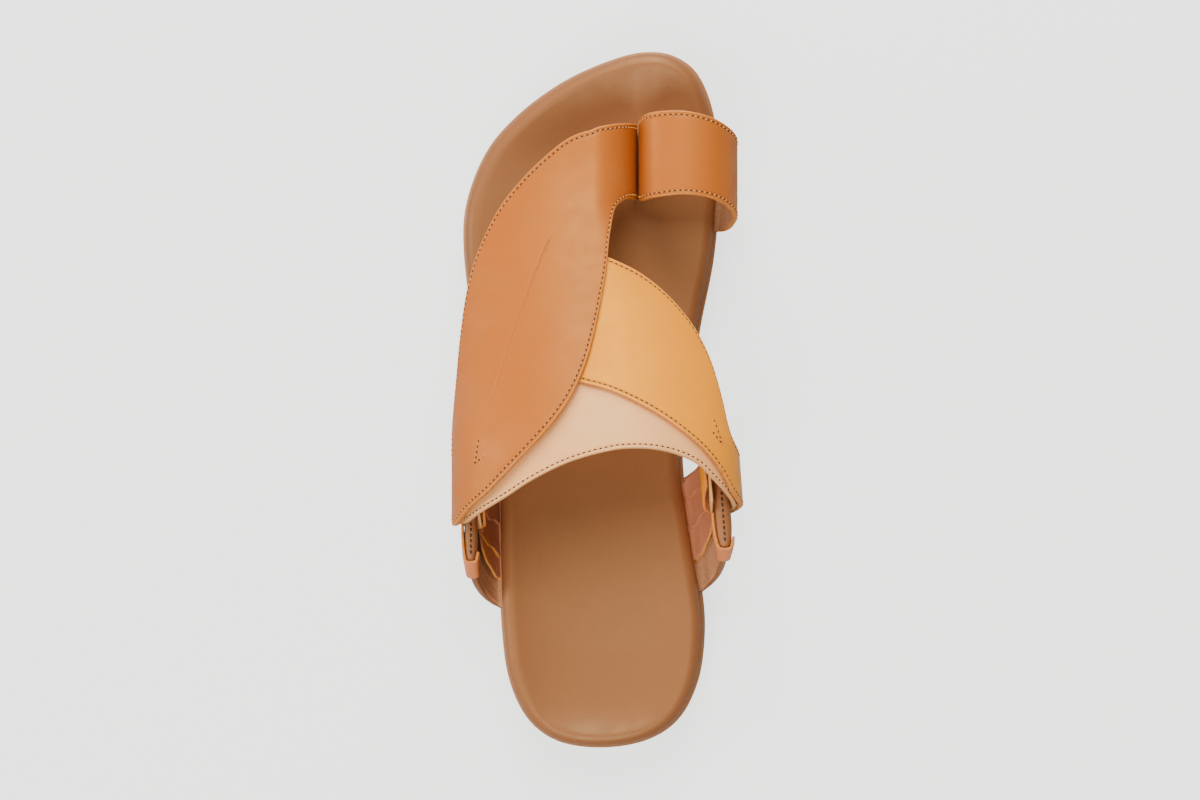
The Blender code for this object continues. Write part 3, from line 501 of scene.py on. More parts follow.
class LeatherColours(PropertyGroup):
    """Colours of the leathers and threads"""

    footbed: seen_colour("Footbed", "Smooth brown leather", 142, 88, 52)
    wrap: seen_colour("Wrap", "Leather round the midsole", 176, 112, 68)
    tan: seen_colour("Tan", "Main strap and toe ring", 180, 95, 32)
    tan_deep: seen_colour("Tan, deep", "Saturated places of the tan leather", 168, 84, 26)
    tan_light: seen_colour("Tan, light", "Pinkish places of the tan leather", 187, 107, 50)
    ochre: seen_colour("Ochre", "Cross strap", 242, 147, 4)
    ochre_deep: seen_colour("Ochre, deep", "Saturated places of the ochre leather", 224, 129, 4)
    ochre_edge: seen_colour("Ochre edge", "Worn rim of the ochre leather", 244, 170, 60)
    beige: seen_colour("Beige", "Instep band", 246, 176, 110)
    wing: seen_colour("Wing", "Brown leather of the wings", 146, 90, 54)
    strip: seen_colour("Strip", "Rust leather of the strips", 196, 122, 86)
    # Lighter and pinker than the straps' tan, which is the same leather: painted sheen.
    sleeve: seen_colour("Sleeve", "Tan leather folded round the uprights", 226, 130, 72)
    lining: seen_colour("Lining", "Soft brown lining", 188, 128, 84)
    cut_edge: seen_colour("Cut edge", "Painted cut edges of straps and sleeves", 208, 122, 40)
    yellow_edge: seen_colour("Yellow edge", "Raw cut edges of the strips", 214, 140, 50)
    thread: seen_colour("Thread", "Waxed thread of the straps", 212, 132, 50)
    brown_thread: seen_colour("Brown thread", "Thread of the bars", 44, 24, 14)
    # Painted shade: the pinholes are nearly black for the shade in the needle holes and the thread's shadow
    # beside them.
    hole: seen_colour("Pinhole", "Inside of a pinhole", 54, 25, 10)
    rubber: seen_colour("Rubber", "Outsole", 58, 38, 26)
    floor: seen_colour("Floor", "Plain pale floor", 172, 173, 170)


# Softboxes round the shoe. azimuth: degrees from the toe towards the inner side. elevation: over the floor.
SOFTBOXES = (
    # name, azimuth, elevation, watts
    ("toe_softbox", 0, 55, 34.0),
    ("toe_low_softbox", 0, 24, 30.0),
    ("heel_softbox", 195, 55, 32.0),
    ("outer_softbox", 270, 24, 20.0),
)


class StageSizes(PropertyGroup):
    """Camera and lights"""

    camera_x: length("Camera x", "The camera hangs over the middle of a pair", 0.0575)
    camera_y: length("Camera y", "The camera hangs over the middle of a pair", 0.0998)
    camera_height: length("Camera height", "Height of the camera over the floor", 1.5)
    view_width: length("View width", "Width of the picture at the top of the sole", 0.4828)
    light_distance: length("Light distance", "From the shoe to each softbox", 1.8)
    light_width: length("Light width", "Side of each softbox", 1.0)
    sky_strength: FloatProperty(name="Sky strength", description="Even light of the room", default=0.06)
    floor_glow: FloatProperty(name="Floor glow", description="The floor's own light", default=1.9)


def ramp(x, rows, column):
    """Smooth values of a table's column, level wherever two neighbouring rows agree."""
    table = np.array([[row[0], row[column]] for row in rows], float)
    xs, ys = table[:, 0], table[:, 1]
    steps = np.diff(ys) / np.diff(xs)
    before, after = steps[:-1], steps[1:]
    total = np.where(before * after > 0, before + after, 1.0)
    inner = np.where(before * after > 0, 2 * before * after / total, 0.0)
    slopes = np.concatenate([steps[:1], inner, steps[-1:]])
    x = np.clip(x, xs[0], xs[-1])
    i = np.clip(np.searchsorted(xs, x, side="right") - 1, 0, len(steps) - 1)
    width = xs[i + 1] - xs[i]
    return hermite_step((x - xs[i]) / width, width, ys[i], ys[i + 1], slopes[i], slopes[i + 1])


def hermite_step(t, width, start, end, start_slope, end_slope):
    return (
        (1 + 2 * t) * (1 - t) ** 2 * start
        + t * (1 - t) ** 2 * width * start_slope
        + t * t * (3 - 2 * t) * end
        + t * t * (t - 1) * width * end_slope
    )


def through(rows, knots, at):
    """Smooth rows of points at the places given, through the rows at the knots."""
    rows = np.asarray(rows, float)
    shape = (-1,) + (1,) * (rows.ndim - 1)
    steps = np.diff(knots)
    rises = np.diff(rows, axis=0) / steps.reshape(shape)
    before, after = steps[:-1].reshape(shape), steps[1:].reshape(shape)
    inner = (rises[:-1] * after + rises[1:] * before) / (before + after)
    slopes = np.concatenate([rises[:1], inner, rises[-1:]])
    i = np.clip(np.searchsorted(knots, at, side="right") - 1, 0, len(steps) - 1)
    t = ((at - knots[i]) / steps[i]).reshape(shape)
    return hermite_step(t, steps[i].reshape(shape), rows[i], rows[i + 1], slopes[i], slopes[i + 1])


def rounded_path(rows, steps, closed=False):
    """Points on a smooth curve through the rows, with the given number of steps between two of them."""
    rows = np.array(rows, float)
    count = len(rows)
    if closed:
        before, here, after, last = (np.roll(rows, -k, axis=0) for k in (-1, 0, 1, 2))
    else:
        picks = (np.clip(np.arange(count - 1) + k, 0, count - 1) for k in (-1, 0, 1, 2))
        before, here, after, last = (rows[pick] for pick in picks)
    found = []
    for step in range(steps):
        t = step / steps
        square = 2 * before - 5 * here + 4 * after - last
        cube = 3 * here - before - 3 * after + last
        found.append(0.5 * (2 * here + (after - before) * t + square * t**2 + cube * t**3))
    path = np.stack(found, axis=1).reshape(-1, rows.shape[1])
    return path if closed else np.vstack([path, rows[-1:]])


class Last:
    """The sole's outline and levels, and the last above it, worked out from the sizes."""

    def __init__(self, scene):
        self.sole = scene.sandal_sole
        self.strap = scene.sandal_straps
        self.wing = scene.sandal_wings
        self.finish = scene.sandal_finish
        corners = [(out * getattr(self.sole, width) / 2, self.y_at(along)) for along, out, width in OUTLINE]
        self.edge = rounded_path(corners, 12, closed=True)

    def y_at(self, along):
        return along * self.sole.shoe_length - self.sole.heel_back

    def along_at(self, y):
        return (y + self.sole.heel_back) / self.sole.shoe_length

    def edge_x(self, y, side):
        """Where the sole's edge is at y, on one side."""
        half = self.edge[self.edge[:, 0] * side > 0]
        half = half[np.argsort(half[:, 1])]
        return np.interp(y, half[:, 1], half[:, 0])

    def inset_edge(self, distance):
        ahead = np.roll(self.edge, -1, axis=0) - np.roll(self.edge, 1, axis=0)
        ahead /= np.linalg.norm(ahead, axis=1)[:, None]
        return self.edge + distance * np.stack([-ahead[:, 1], ahead[:, 0]], axis=1)

    def fan(self, stations=96, toe_rays=56, heel_rays=48):
        """Spine point and direction of each ray, from the inner side of the heel forward and round the shoe."""
        first, last = self.y_at(SPINE[0][0]), self.y_at(SPINE[-1][0])
        ys = np.linspace(first, last, stations)
        spine = np.stack([ramp(self.along_at(ys), SPINE, 1) * self.sole.ball_width / 2, ys], axis=1)
        turns = np.pi * np.arange(1, toe_rays) / toe_rays
        back = np.pi * (1 + np.arange(1, heel_rays) / heel_rays)
        centres = [spine, np.repeat(spine[-1:], len(turns), 0), spine[::-1], np.repeat(spine[:1], len(back), 0)]
        angles = np.concatenate([np.zeros(stations), turns, np.full(stations, np.pi), back])
        return np.vstack(centres), np.stack([np.cos(angles), np.sin(angles)], axis=1)

    def reach(self, centres, directions, distance):
        """Where each ray leaves the outline that is inset by the distance."""
        loop = self.inset_edge(distance)
        found = []
        for centre, direction in zip(centres, directions):
            offset = (loop - centre) @ np.array((-direction[1], direction[0]))
            far = (loop - centre) @ direction
            nearer = np.roll(offset, -1)
            crossed = np.nonzero((offset <= 0) != (nearer <= 0))[0]
            t = offset[crossed] / (offset[crossed] - nearer[crossed])
            found.append((far[crossed] + t * (np.roll(far, -1)[crossed] - far[crossed])).max())
        return centres + np.array(found)[:, None] * directions

    def ground(self, y):
        a = self.along_at(y)
        return ramp(a, PROFILE, 1) * self.sole.toe_spring + ramp(a, PROFILE, 2) * self.sole.arch_relief

    def bed_line(self, y):
        a = self.along_at(y)
        lift = ramp(a, PROFILE, 3) * (self.sole.heel_height - self.sole.ball_height)
        return ramp(a, PROFILE, 1) * self.sole.toe_spring + self.sole.ball_height + lift

    def midsole_top(self, y):
        return self.bed_line(y) - self.sole.footbed_thickness - self.sole.fit_gap

    def bed_height(self, x, y, part):
        """Top of the footbed. part runs from 0 on the spine to 1 at the rim."""
        full, end = HEEL_CUP_SPAN
        heel = np.clip((end - self.along_at(y)) / (end - full), 0, 1)
        dip = 0.0
        for centre, along, half_width, half_length in HOLLOWS:
            across = (x / (self.sole.ball_width / 2) - centre) / half_width
            dip = dip + np.exp(-(across**2) - ((self.along_at(y) - along) / half_length) ** 2)
        dip = dip * self.sole.toe_hollow * (1 - part**4)
        return self.bed_line(y) + self.sole.rim_rise * part**4 - dip - self.sole.heel_cup * heel * (1 - part**2)

    def anchor(self, side):
        """Rear edge and width of the straps where they pass the bar."""
        if side < 0:
            return self.y_at(self.strap.anchor_lateral), self.strap.anchor_width
        return self.y_at(self.strap.anchor_medial), self.strap.anchor_medial_width

    def anchor_row(self, side):
        rear, width = self.anchor(side)
        return side * 90.0, self.along_at(rear + CORNER_SETBACK), side * 90.0, self.along_at(rear + width)

    def bar_span(self, side):
        """Rear and front end of a bar: the straps, room beside them and an upright at each end."""
        rear, width = self.anchor(side)
        rear_upright, front_upright = WINGS[side][2:4]
        start = rear - self.wing.slot_room - rear_upright * self.wing.upright_width
        return start, rear + width + self.wing.slot_room + front_upright * self.wing.upright_width

    def bar_x(self, side, y):
        """Distance of a bar's middle from the centre line."""
        if side < 0:
            return self.wing.bar_lateral_x
        rear, front = self.bar_span(side)
        ahead = np.clip(y, rear, front) - self.y_at(self.strap.anchor_medial)
        return self.wing.bar_medial_x - self.wing.bar_toe_in * ahead

    def bar_thickness(self, side):
        return self.wing.bar_lateral if side < 0 else self.wing.bar_medial

    def post_x(self, side, thickness):
        """Middle of a leather that stands in the slot between the toes."""
        return self.strap.toe_slot_x + side * (self.strap.layer_gap + thickness) / 2

    def strap_reach(self, side, y):
        slack = self.wing.lateral_slack if side < 0 else self.wing.medial_slack
        return self.bar_x(side, y) + self.bar_thickness(side) / 2 + slack

    def over(self, turn, along, lift):
        """Points over the last, lift above the underside of the lowest strap."""
        y = self.y_at(along)
        crest = ramp(along, LAST, 1) * self.sole.ball_width / 2
        top = ramp(along, LAST, 2) * self.strap.instep_height + lift
        fold = ramp(along, LAST, 7)
        post = self.post_x(-1, self.strap.strap_thickness) - self.main_lift(0)
        inner = (1 - fold) * ramp(along, LAST, 5) * self.strap_reach(1, y) + fold * post + lift
        outer = -(ramp(along, LAST, 3) * self.strap_reach(-1, y) + lift)
        hem = np.where(turn < 0, ramp(along, LAST, 4), ramp(along, LAST, 6)) * self.wing.bar_height
        reach = np.where(turn < 0, outer, inner)
        angle = np.radians(np.abs(turn))
        x = crest + (reach - crest) * np.sin(angle)
        return np.stack([x, y, hem + (top - hem) * np.cos(angle)], axis=-1)

    def band_lift(self, turn):
        return self.strap.band_thickness / 2

    def cross_lift(self, turn):
        return 1.5 * self.strap.band_thickness + self.strap.layer_gap

    def main_lift(self, turn):
        """The main strap lies on the band at the bar and also on the cross strap near the crest."""
        layer = self.strap.band_thickness + self.strap.layer_gap
        t = np.clip((turn + 90) / 50, 0, 1)
        return layer * (1 + t * t * (3 - 2 * t)) + self.strap.strap_thickness / 2


def between(rear, front):
    """A row of a strap, straight from its rear to its front edge."""
    rear, front = np.array(rear, float), np.array(front, float)
    return lambda t: rear + (front - rear) * t[:, None]


def arch_rows(last, table, lift, steps=4):
    """Rows of a strap over the last."""
    rows = []
    for rear_turn, rear_along, front_turn, front_along in rounded_path(table, steps):

        def row(t, turns=(rear_turn, front_turn), alongs=(rear_along, front_along)):
            turn = turns[0] + (turns[1] - turns[0]) * t
            return last.over(turn, alongs[0] + (alongs[1] - alongs[0]) * t, lift(turn))

        rows.append(row)
    return rows


def wrap_rows(last, side, lift, tail_lift, tail):
    """Rows of a strap's end: down outside the bar, round under it and up inside, pared and close to it."""
    start = last.wing.bar_height - last.wing.bar_depth / 2
    rear, width = last.anchor(side)

    def profile(y, setback):
        outer = last.strap_reach(side, y) + lift
        inner = last.bar_x(side, y) - last.bar_thickness(side) / 2 - last.strap.wrap_gap - tail_lift
        centre, radius = (outer + inner) / 2, (outer - inner) / 2
        line = [(side * outer, y + setback, start)]
        for angle in (*FOLD_TURNS, 180):
            turn = math.radians(angle)
            drop = (last.strap.wrap_drop + (lift + tail_lift) / 2) * math.sin(turn)
            drift = WRAP_DRIFT * math.sin(turn) if setback else 0.0
            swing = setback * ((1 + math.cos(turn)) / 2) ** 2 - drift
            line.append((side * (centre + radius * math.cos(turn)), y + swing, start - drop))
        for rise, inward, ahead in TAILS[tail]:
            shift = ahead * MM if setback else 0.0
            line.append((side * (inner - inward * MM), y + shift, start + rise * MM))
        return line

    return [between(*pair) for pair in zip(profile(rear, CORNER_SETBACK), profile(rear + width, 0.0))]


def pared(last, rows, wraps, thickness):
    """Thickness at each row: full on the last, and pared where the strap goes round a bar."""
    thin = last.strap.skived
    down = np.linspace(thickness, thin, 4)
    first = [thin] * (len(wraps[0]) - 4) + list(down[::-1]) if wraps[0] else []
    final = list(down) + [thin] * (len(wraps[1]) - 4) if wraps[1] else []
    return first + [thickness] * (rows - len(first) - len(final)) + final


def post_rows(last, x, top_rear, top_front, top):
    """Rows of a strap's end between the toes, from a fold at height top down into the slot."""
    start = last.y_at(last.strap.toe_post_rear)
    end = start + last.strap.toe_post_width
    mouth = last.bed_line(start)
    foot = mouth - last.strap.toe_slot_depth + last.sole.fit_gap
    rows = []
    for part in (0.5, 1.0):
        z = top + (mouth - top) * part
        rear, front = top_rear + (start - top_rear) * part, top_front + (end - top_front) * part
        rows.append(between((x, rear, z), (x, front, z)))
    return [*rows, between((x, start, foot), (x, end, foot))]


def distances(points):
    """How far each point of a line is from its first one. A grid's lines are taken on average."""
    steps = np.linalg.norm(np.diff(points, axis=0), axis=-1)
    steps = steps.mean(axis=1) if steps.ndim > 1 else steps
    return np.concatenate([[0.0], np.cumsum(steps)])


def from_ends(places):
    return np.minimum(places, places[-1] - places)


def unit(vectors):
    return vectors / np.linalg.norm(vectors, axis=-1)[..., None]


def rounded_edge(size, degrees):
    """Distances from a cut edge of the lines of points over its rounding."""
    return size.edge_round * (1 - np.cos(np.radians(degrees)))


def edge_places(size):
    """Distances from a cut edge at which a strap has a line of points: over the rounding and the stitches."""
    seam = size.stitch_inset + SEAM_STEP * np.array((-2, -1, 0, 1, 2, 5))
    return np.concatenate([rounded_edge(size, ROUNDING_TURNS), seam])


def spread(total, near, step):
    """Places from 0 to total: the near ones from both ends, and even steps between them."""
    count = max(1, math.ceil((total - 2 * near[-1]) / step))
    inner = np.linspace(near[-1], total - near[-1], count + 1)[1:-1]
    return np.concatenate([near, inner, total - near[::-1]])


def strap_grid(rows, size, line=None):
    """Fine grid of points from a strap's rows, with each point's distance from the side edges and the ends.

    line gives for each row where a pressed line crosses it, as a share of its width, and the place on the line
    from 0 to 1. Its depth, from 0 to 1, comes back for each point of the grid.
    """
    near = edge_places(size)
    half = size.across_count // 2
    coarse, rims = [], []
    for number, row in enumerate(rows):
        width = distances(row(np.linspace(0, 1, 9)))[-1]
        low, high = near[-1], width - near[-1]
        if line is None:
            inner = np.linspace(low, high, size.across_count + 2)[1:-1]
        else:
            middle = np.clip(line[number][0] * width, low + PRESSED_ROOM, high - PRESSED_ROOM)
            pressed = middle + PRESSED_COLUMNS
            before = np.linspace(low, pressed[0], half + 2)[1:-1]
            inner = np.concatenate([before, pressed, np.linspace(pressed[-1], high, half + 2)[1:-1]])
        places = np.concatenate([near, inner, width - near[::-1]])
        coarse.append(row(places / width))
        rims.append(np.minimum(places, width - places))
    knots = distances(coarse)
    ends = near[: len(ROUNDING_TURNS)]
    at = []
    for low, high in zip(knots, knots[1:]):
        count = max(2, math.ceil((high - low) / size.mesh_step))
        at += list(low + (high - low) * np.arange(count) / count)
    inner = [a for a in at if ends[-1] < a < knots[-1] - ends[-1]]
    at = np.array([*ends, *inner, *(knots[-1] - ends[::-1])])
    grid, rim = through(coarse, knots, at), through(rims, knots, at)
    depth = np.zeros(rim.shape)
    if line is not None:
        along = np.interp(at, knots, [place for _, place in line])
        fade = np.clip(np.minimum(along, 1 - along) / PRESSED_FADE, 0, 1)
        shape = np.exp(-((PRESSED_COLUMNS / TROUGH_WIDTH) ** 2))
        first = len(near) + half
        depth[:, first : first + len(shape)] = fade[:, None] * shape[None, :]
    return grid, rim, np.minimum(at, knots[-1] - at), (at, knots), depth


def make_mesh(name, points, faces, kinds, finishes, rims=None):
    """A smooth mesh. kinds: number of each face's finish. rims: each point's distance from an edge, in mm."""
    mesh = bpy.data.meshes.new(name)
    mesh.from_pydata(points.tolist(), [], faces)
    for finish in finishes:
        mesh.materials.append(material(finish))
    mesh.polygons.foreach_set("material_index", np.asarray(kinds, np.int32))
    if rims is not None:
        layer = mesh.attributes.new("rim", "FLOAT", "POINT")
        layer.data.foreach_set("value", np.asarray(rims, np.float32))
    mesh.shade_smooth()
    made = bpy.data.objects.new(name, mesh)
    bpy.context.scene.collection.objects.link(made)
    return made


def rounding_of(distance, radius, power=2.6):
    """Share of the full thickness at a distance from the edge."""
    inside = np.clip(distance / radius, 0, 1)
    return (1 - (1 - inside) ** power) ** (1 / power)


def leather(name, grid, rim, thickness, radius, finishes, cells=None, dent=0.0, under=0.0):
    """Closed leather round a grid of points through its middle: face, lining and cut edge.

    rim is each point's distance from the nearest edge, radius the edge's rounding. dent and under press the face
    and the lining in. cells are the grid's cells that have leather.
    """
    if cells is None:
        cells = np.ones((grid.shape[0] - 1, grid.shape[1] - 1), bool)
    normal = unit(np.cross(np.gradient(grid, axis=0), np.gradient(grid, axis=1)))
    full = rounding_of(rim, radius)
    half = thickness / 2 * full
    upper_points = grid + normal * (half - dent * full)[:, :, None]
    lower_points = grid - normal * (half - under * full)[:, :, None]
    wide = np.pad(cells, 1)
    around = np.stack([wide[:-1, :-1], wide[1:, :-1], wide[:-1, 1:], wide[1:, 1:]])
    used = around.any(axis=0)
    border = used & ~around.all(axis=0)
    inner = used & ~border
    upper = np.where(used, np.cumsum(used).reshape(used.shape) - 1, -1)
    lower = np.where(border, upper, used.sum() + np.cumsum(inner).reshape(used.shape) - 1)
    upper_points[border] = grid[border]
    i, j = np.nonzero(cells)
    face, back = (
        np.stack([layer[pick] for pick in ((i, j), (i + 1, j), (i + 1, j + 1), (i, j + 1))], axis=1)
        for layer in (upper, lower)
    )
    middle = (rim[i, j] + rim[i + 1, j] + rim[i + 1, j + 1] + rim[i, j + 1]) / 4
    cut = middle < EDGE_PART * np.broadcast_to(radius, rim.shape)[i, j]
    kinds = np.concatenate([np.where(cut, 2, 0), np.where(cut, 2, 1)])
    points = np.vstack([upper_points[used], lower_points[inner]])
    rims = np.concatenate([rim[used], rim[inner]]) / MM
    faces = np.vstack([face, back[:, [0, 3, 2, 1]]]).tolist()
    return make_mesh(name, points, faces, kinds, finishes, rims), upper_points, normal


def rest(piece, slot, *nodes):
    """The piece rides on the one body and stands for its nodes."""
    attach(piece, "root")
    if nodes:
        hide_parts(*nodes)


def capsule(rings=7, sides=8):
    """Points and faces of one stitch of unit length and radius, its ends bent down into their holes."""
    x = np.linspace(-0.5, 0.5, rings)
    girth = np.sqrt(1 - (np.abs(x) * 1.86) ** 4)
    sink = -1.9 * (np.abs(x) * 2) ** 3
    turns = 2 * np.pi * np.arange(sides) / sides
    points = [(px, g * math.cos(a), s + g * math.sin(a)) for px, g, s in zip(x, girth, sink) for a in turns]
    faces = []
    for low in range(0, (rings - 1) * sides, sides):
        for side in range(sides):
            after = (side + 1) % sides
            faces.append((low + side, low + after, low + sides + after, low + sides + side))
    ends = (tuple(range(sides))[::-1], tuple(range((rings - 1) * sides, rings * sides)))
    return np.array(points), [*faces, *ends]


# A dark disc that carries the painted shade of a needle hole.
def pinhole(sides=10):
    """Points and faces of one slanting pinhole of unit half width."""
    turns = 2 * np.pi * np.arange(sides) / sides
    points = [(1.6 * math.cos(a), math.sin(a), 0.0) for a in turns] + [(0.0, 0.0, -0.05)]
    return np.array(points), [(k, (k + 1) % sides, sides) for k in range(sides)]


def sew(name, lines, size, thread, hole, slot, lift=0.0, dash=(0.62, 1.0)):
    """Stitches and pinholes along lines of points and normals.

    lift: over the line. dash: length and girth of a stitch, as shares of its pitch and of the thread.
    """
    points, faces, kinds, count = [], [], [], 0
    rng = np.random.default_rng(len(lines) * 7 + len(name))
    for line, normals in lines:
        place = distances(line)
        total = max(2, round(place[-1] / size.stitch_pitch))
        pitch = place[-1] / total

        def at(values, where):
            return np.stack([np.interp(where, place, values[:, k]) for k in range(3)], axis=1)

        holes = pitch * np.arange(total + 1)
        threads = (holes[:-1] + pitch / 2, capsule(), dash[0] * pitch, dash[1] * size.thread_radius)
        for kind, (where, (shape, shape_faces), long, wide) in enumerate((
            threads, (holes, pinhole(), size.hole_radius, size.hole_radius)
        )):
            up = unit(at(normals, where))
            before, after = np.maximum(where - SEAM_STEP, 0), np.minimum(where + SEAM_STEP, place[-1])
            ahead = unit(at(line, after) - at(line, before))
            lean = (0.0 * where if kind else LEAN[0] + LEAN[1] * rng.standard_normal(len(where)))[:, None]
            turned = ahead * np.cos(lean) + np.cross(up, ahead) * np.sin(lean)
            base = at(line, where) + up * (lift + (HOLE_LIFT if kind else THREAD_LIFT * size.thread_radius))
            axes = np.stack([long * turned, wide * np.cross(up, turned), wide * up], axis=1)
            points.append((base[:, None] + shape @ axes).reshape(-1, 3))
            for low in range(count, count + len(points[-1]), len(shape)):
                faces += [tuple(low + index for index in face) for face in shape_faces]
                kinds += [kind] * len(shape_faces)
            count += len(points[-1])
    rest(make_mesh(name, np.vstack(points), faces, kinds, [thread, hole]), slot)


def join(tree, made, inputs):
    """Link a node's inputs from sockets, or set them to values."""
    for key, value in inputs.items():
        if isinstance(value, bpy.types.NodeSocket):
            tree.links.new(value, made.inputs[key])
        else:
            made.inputs[key].default_value = value


def node(tree, kind, inputs=None, **settings):
    """A shader node with its settings and inputs."""
    made = tree.nodes.new("ShaderNode" + kind)
    for key, value in settings.items():
        setattr(made, key, value)
    join(tree, made, inputs or {})
    return made


def mix(tree, factor, first, second, blend="MIX"):
    return node(tree, "Mix", {0: factor, 6: first, 7: second}, data_type="RGBA", blend_type=blend).outputs[2]


def calc(tree, operation, first, second=0.0):
    return node(tree, "Math", {0: first, 1: second}, operation=operation).outputs[0]


def smooth(tree, value, low, high, out_low=0.0, out_high=1.0):
    """The value taken softly from one range to another."""
    inputs = {"Value": value, "From Min": low, "From Max": high, "To Min": out_low, "To Max": out_high}
    return node(tree, "MapRange", inputs, interpolation_type="SMOOTHSTEP").outputs["Result"]


def position(tree):
    return node(tree, "TexCoord").outputs["Object"]


def noise(tree, scale, detail=3.0, roughness=0.5, result="Fac"):
    inputs = {"Vector": position(tree), "Scale": scale, "Detail": detail, "Roughness": roughness}
    return node(tree, "TexNoise", inputs).outputs[result]


def bump(tree, height, strength, distance):
    return node(tree, "Bump", {"Height": height, "Strength": strength, "Distance": distance}).outputs["Normal"]


def tone_nodes(tree, given):
    """Slow drift of a leather's colour between a deep and a light tone, with fine pores."""
    slow = noise(tree, calc(tree, "DIVIDE", 1.0, given["Patch size"]), 2.0, 0.45)
    colour = mix(tree, smooth(tree, slow, 0.52, 0.70, 0.0, 0.3), given["Colour"], given["Deep"])
    colour = mix(tree, smooth(tree, slow, 0.46, 0.30, 0.0, 0.35), colour, given["Light"])
    dark = mix(tree, 1.0, colour, (0.72, 0.66, 0.62, 1.0), "MULTIPLY")
    colour = mix(tree, smooth(tree, noise(tree, 900.0, 3.0, 0.6), 0.58, 0.74, 0.0, 0.12), colour, dark)
    cloud = noise(tree, 160.0)
    return {"Colour": mix(tree, smooth(tree, cloud, 0.35, 0.65, 0.0, 0.10), colour, dark), "Mottle": cloud}


def grain_nodes(tree, given):
    """Height of fine leather grain: small pebbles, pores and hair creases."""
    shift = {0: noise(tree, 420.0, 2.0, result="Color"), "Scale": 0.0006}
    shift = node(tree, "VectorMath", shift, operation="SCALE").outputs[0]
    bent = node(tree, "VectorMath", {0: position(tree), 1: shift}, operation="ADD").outputs[0]
    cells = [{"Vector": bent, "Scale": scale} for scale in (1 / PEBBLE_SIZE, 1 / CREASE_STEP)]
    cells = [node(tree, "TexVoronoi", inputs, feature="DISTANCE_TO_EDGE") for inputs in cells]
    pebble, crease = (cell.outputs["Distance"] for cell in cells)
    height = calc(tree, "MULTIPLY", noise(tree, 2200.0, 2.0), 0.5)
    height = calc(tree, "ADD", smooth(tree, pebble, 0.0, 0.28, 0.0, 0.5), height)
    return {"Height": calc(tree, "SUBTRACT", height, smooth(tree, crease, 0.0, 0.035, 0.3, 0.0))}


def seam_shade_and_wear_nodes(tree, given):
    """Colour by the distance from a cut edge, in mm: painted shade along the stitch trough, and worn to the
    edge's tone.
    """
    rim = node(tree, "Attribute", attribute_name="rim").outputs["Fac"]
    ragged = calc(tree, "MULTIPLY", calc(tree, "SUBTRACT", noise(tree, 260.0), 0.5), 0.5)
    wear = smooth(tree, calc(tree, "ADD", rim, ragged), WORN_WIDTH, 0.35 * WORN_WIDTH)
    # Painted shade: the leather is darker along the trough that the stitches pull in.
    off = calc(tree, "ABSOLUTE", calc(tree, "SUBTRACT", rim, SEAM_SHADE_PLACE))
    dark = mix(tree, 1.0, given["Colour"], (0.62, 0.50, 0.40, 1.0), "MULTIPLY")
    colour = mix(tree, smooth(tree, off, 0.75, 0.1, 0.0, 0.4), given["Colour"], dark)
    return {"Colour": mix(tree, wear, colour, given["Edge"])}


NODE_GROUPS = {
    # name: function, inputs, outputs
    "leather_tone": (
        tone_nodes,
        {"Colour": GREY, "Deep": GREY, "Light": GREY, "Patch size": 0.03},
        {"Colour": GREY, "Mottle": 0.0},
    ),
    "leather_grain": (grain_nodes, {}, {"Height": 0.0}),
    "edge_wear": (seam_shade_and_wear_nodes, {"Colour": GREY, "Edge": GREY}, {"Colour": GREY}),
}


def shared(tree, name, inputs=None):
    """Outputs of the node group of this name, which is made on its first use."""
    group = bpy.data.node_groups.get(name)
    if group is None:
        fill, given, results = NODE_GROUPS[name]
        group = bpy.data.node_groups.new(name, "ShaderNodeTree")
        for way, sockets in (("INPUT", given), ("OUTPUT", results)):
            for label, default in sockets.items():
                kind = "NodeSocketFloat" if isinstance(default, float) else "NodeSocketColor"
                group.interface.new_socket(label, in_out=way, socket_type=kind).default_value = default
        filled = fill(group, group.nodes.new("NodeGroupInput").outputs)
        join(group, group.nodes.new("NodeGroupOutput"), filled)
    return node(tree, "Group", inputs, node_tree=group).outputs


def tint(key, base=None):
    """The colour property of this name, or the base one times a number."""
    named = isinstance(key, str)
    colour = getattr(bpy.context.scene.sandal_colours, key if named else base)
    return (*[min(1.0, part * (1.0 if named else key)) for part in colour], 1.0)


def leather_nodes(tree, shader, colour, deep, light, edge, roughness, grain, patch, gleam):
    """Smooth dyed leather: drifting tone, fine grain, a thin coat, and, if it has an edge colour, a worn rim and
    painted shade along the stitches.
    """
    tones = {"Colour": tint(colour), "Deep": tint(deep, colour), "Light": tint(light, colour)}
    tone = shared(tree, "leather_tone", {**tones, "Patch size": patch})
    out = tone["Colour"]
    if edge:
        out = shared(tree, "edge_wear", {"Colour": out, "Edge": tint(edge, colour)})["Colour"]
    join(tree, shader, {
        "Base Color": out,
        "Normal": bump(tree, shared(tree, "leather_grain")["Height"], grain, 0.3 * MM),
        "Roughness": smooth(tree, tone["Mottle"], 0.3, 0.7, roughness - 0.05, roughness + 0.06),
        "Coat Weight": 0.03,
        "Coat Roughness": 0.3,
        "Specular IOR Level": 0.42,
        "Specular Tint": (*gleam, 1.0),
    })


def fibre_nodes(tree, shader, colour, roughness, scale, strength):
    """Raw, painted or threadlike surface: fine fibres in colour and bump."""
    fibres = noise(tree, scale)
    out = mix(tree, smooth(tree, fibres, 0.3, 0.7), tint(0.78, colour), tint(1.12, colour))
    normal = bump(tree, fibres, strength, 0.2 * MM)
    join(tree, shader, {"Base Color": out, "Normal": normal, "Roughness": roughness})


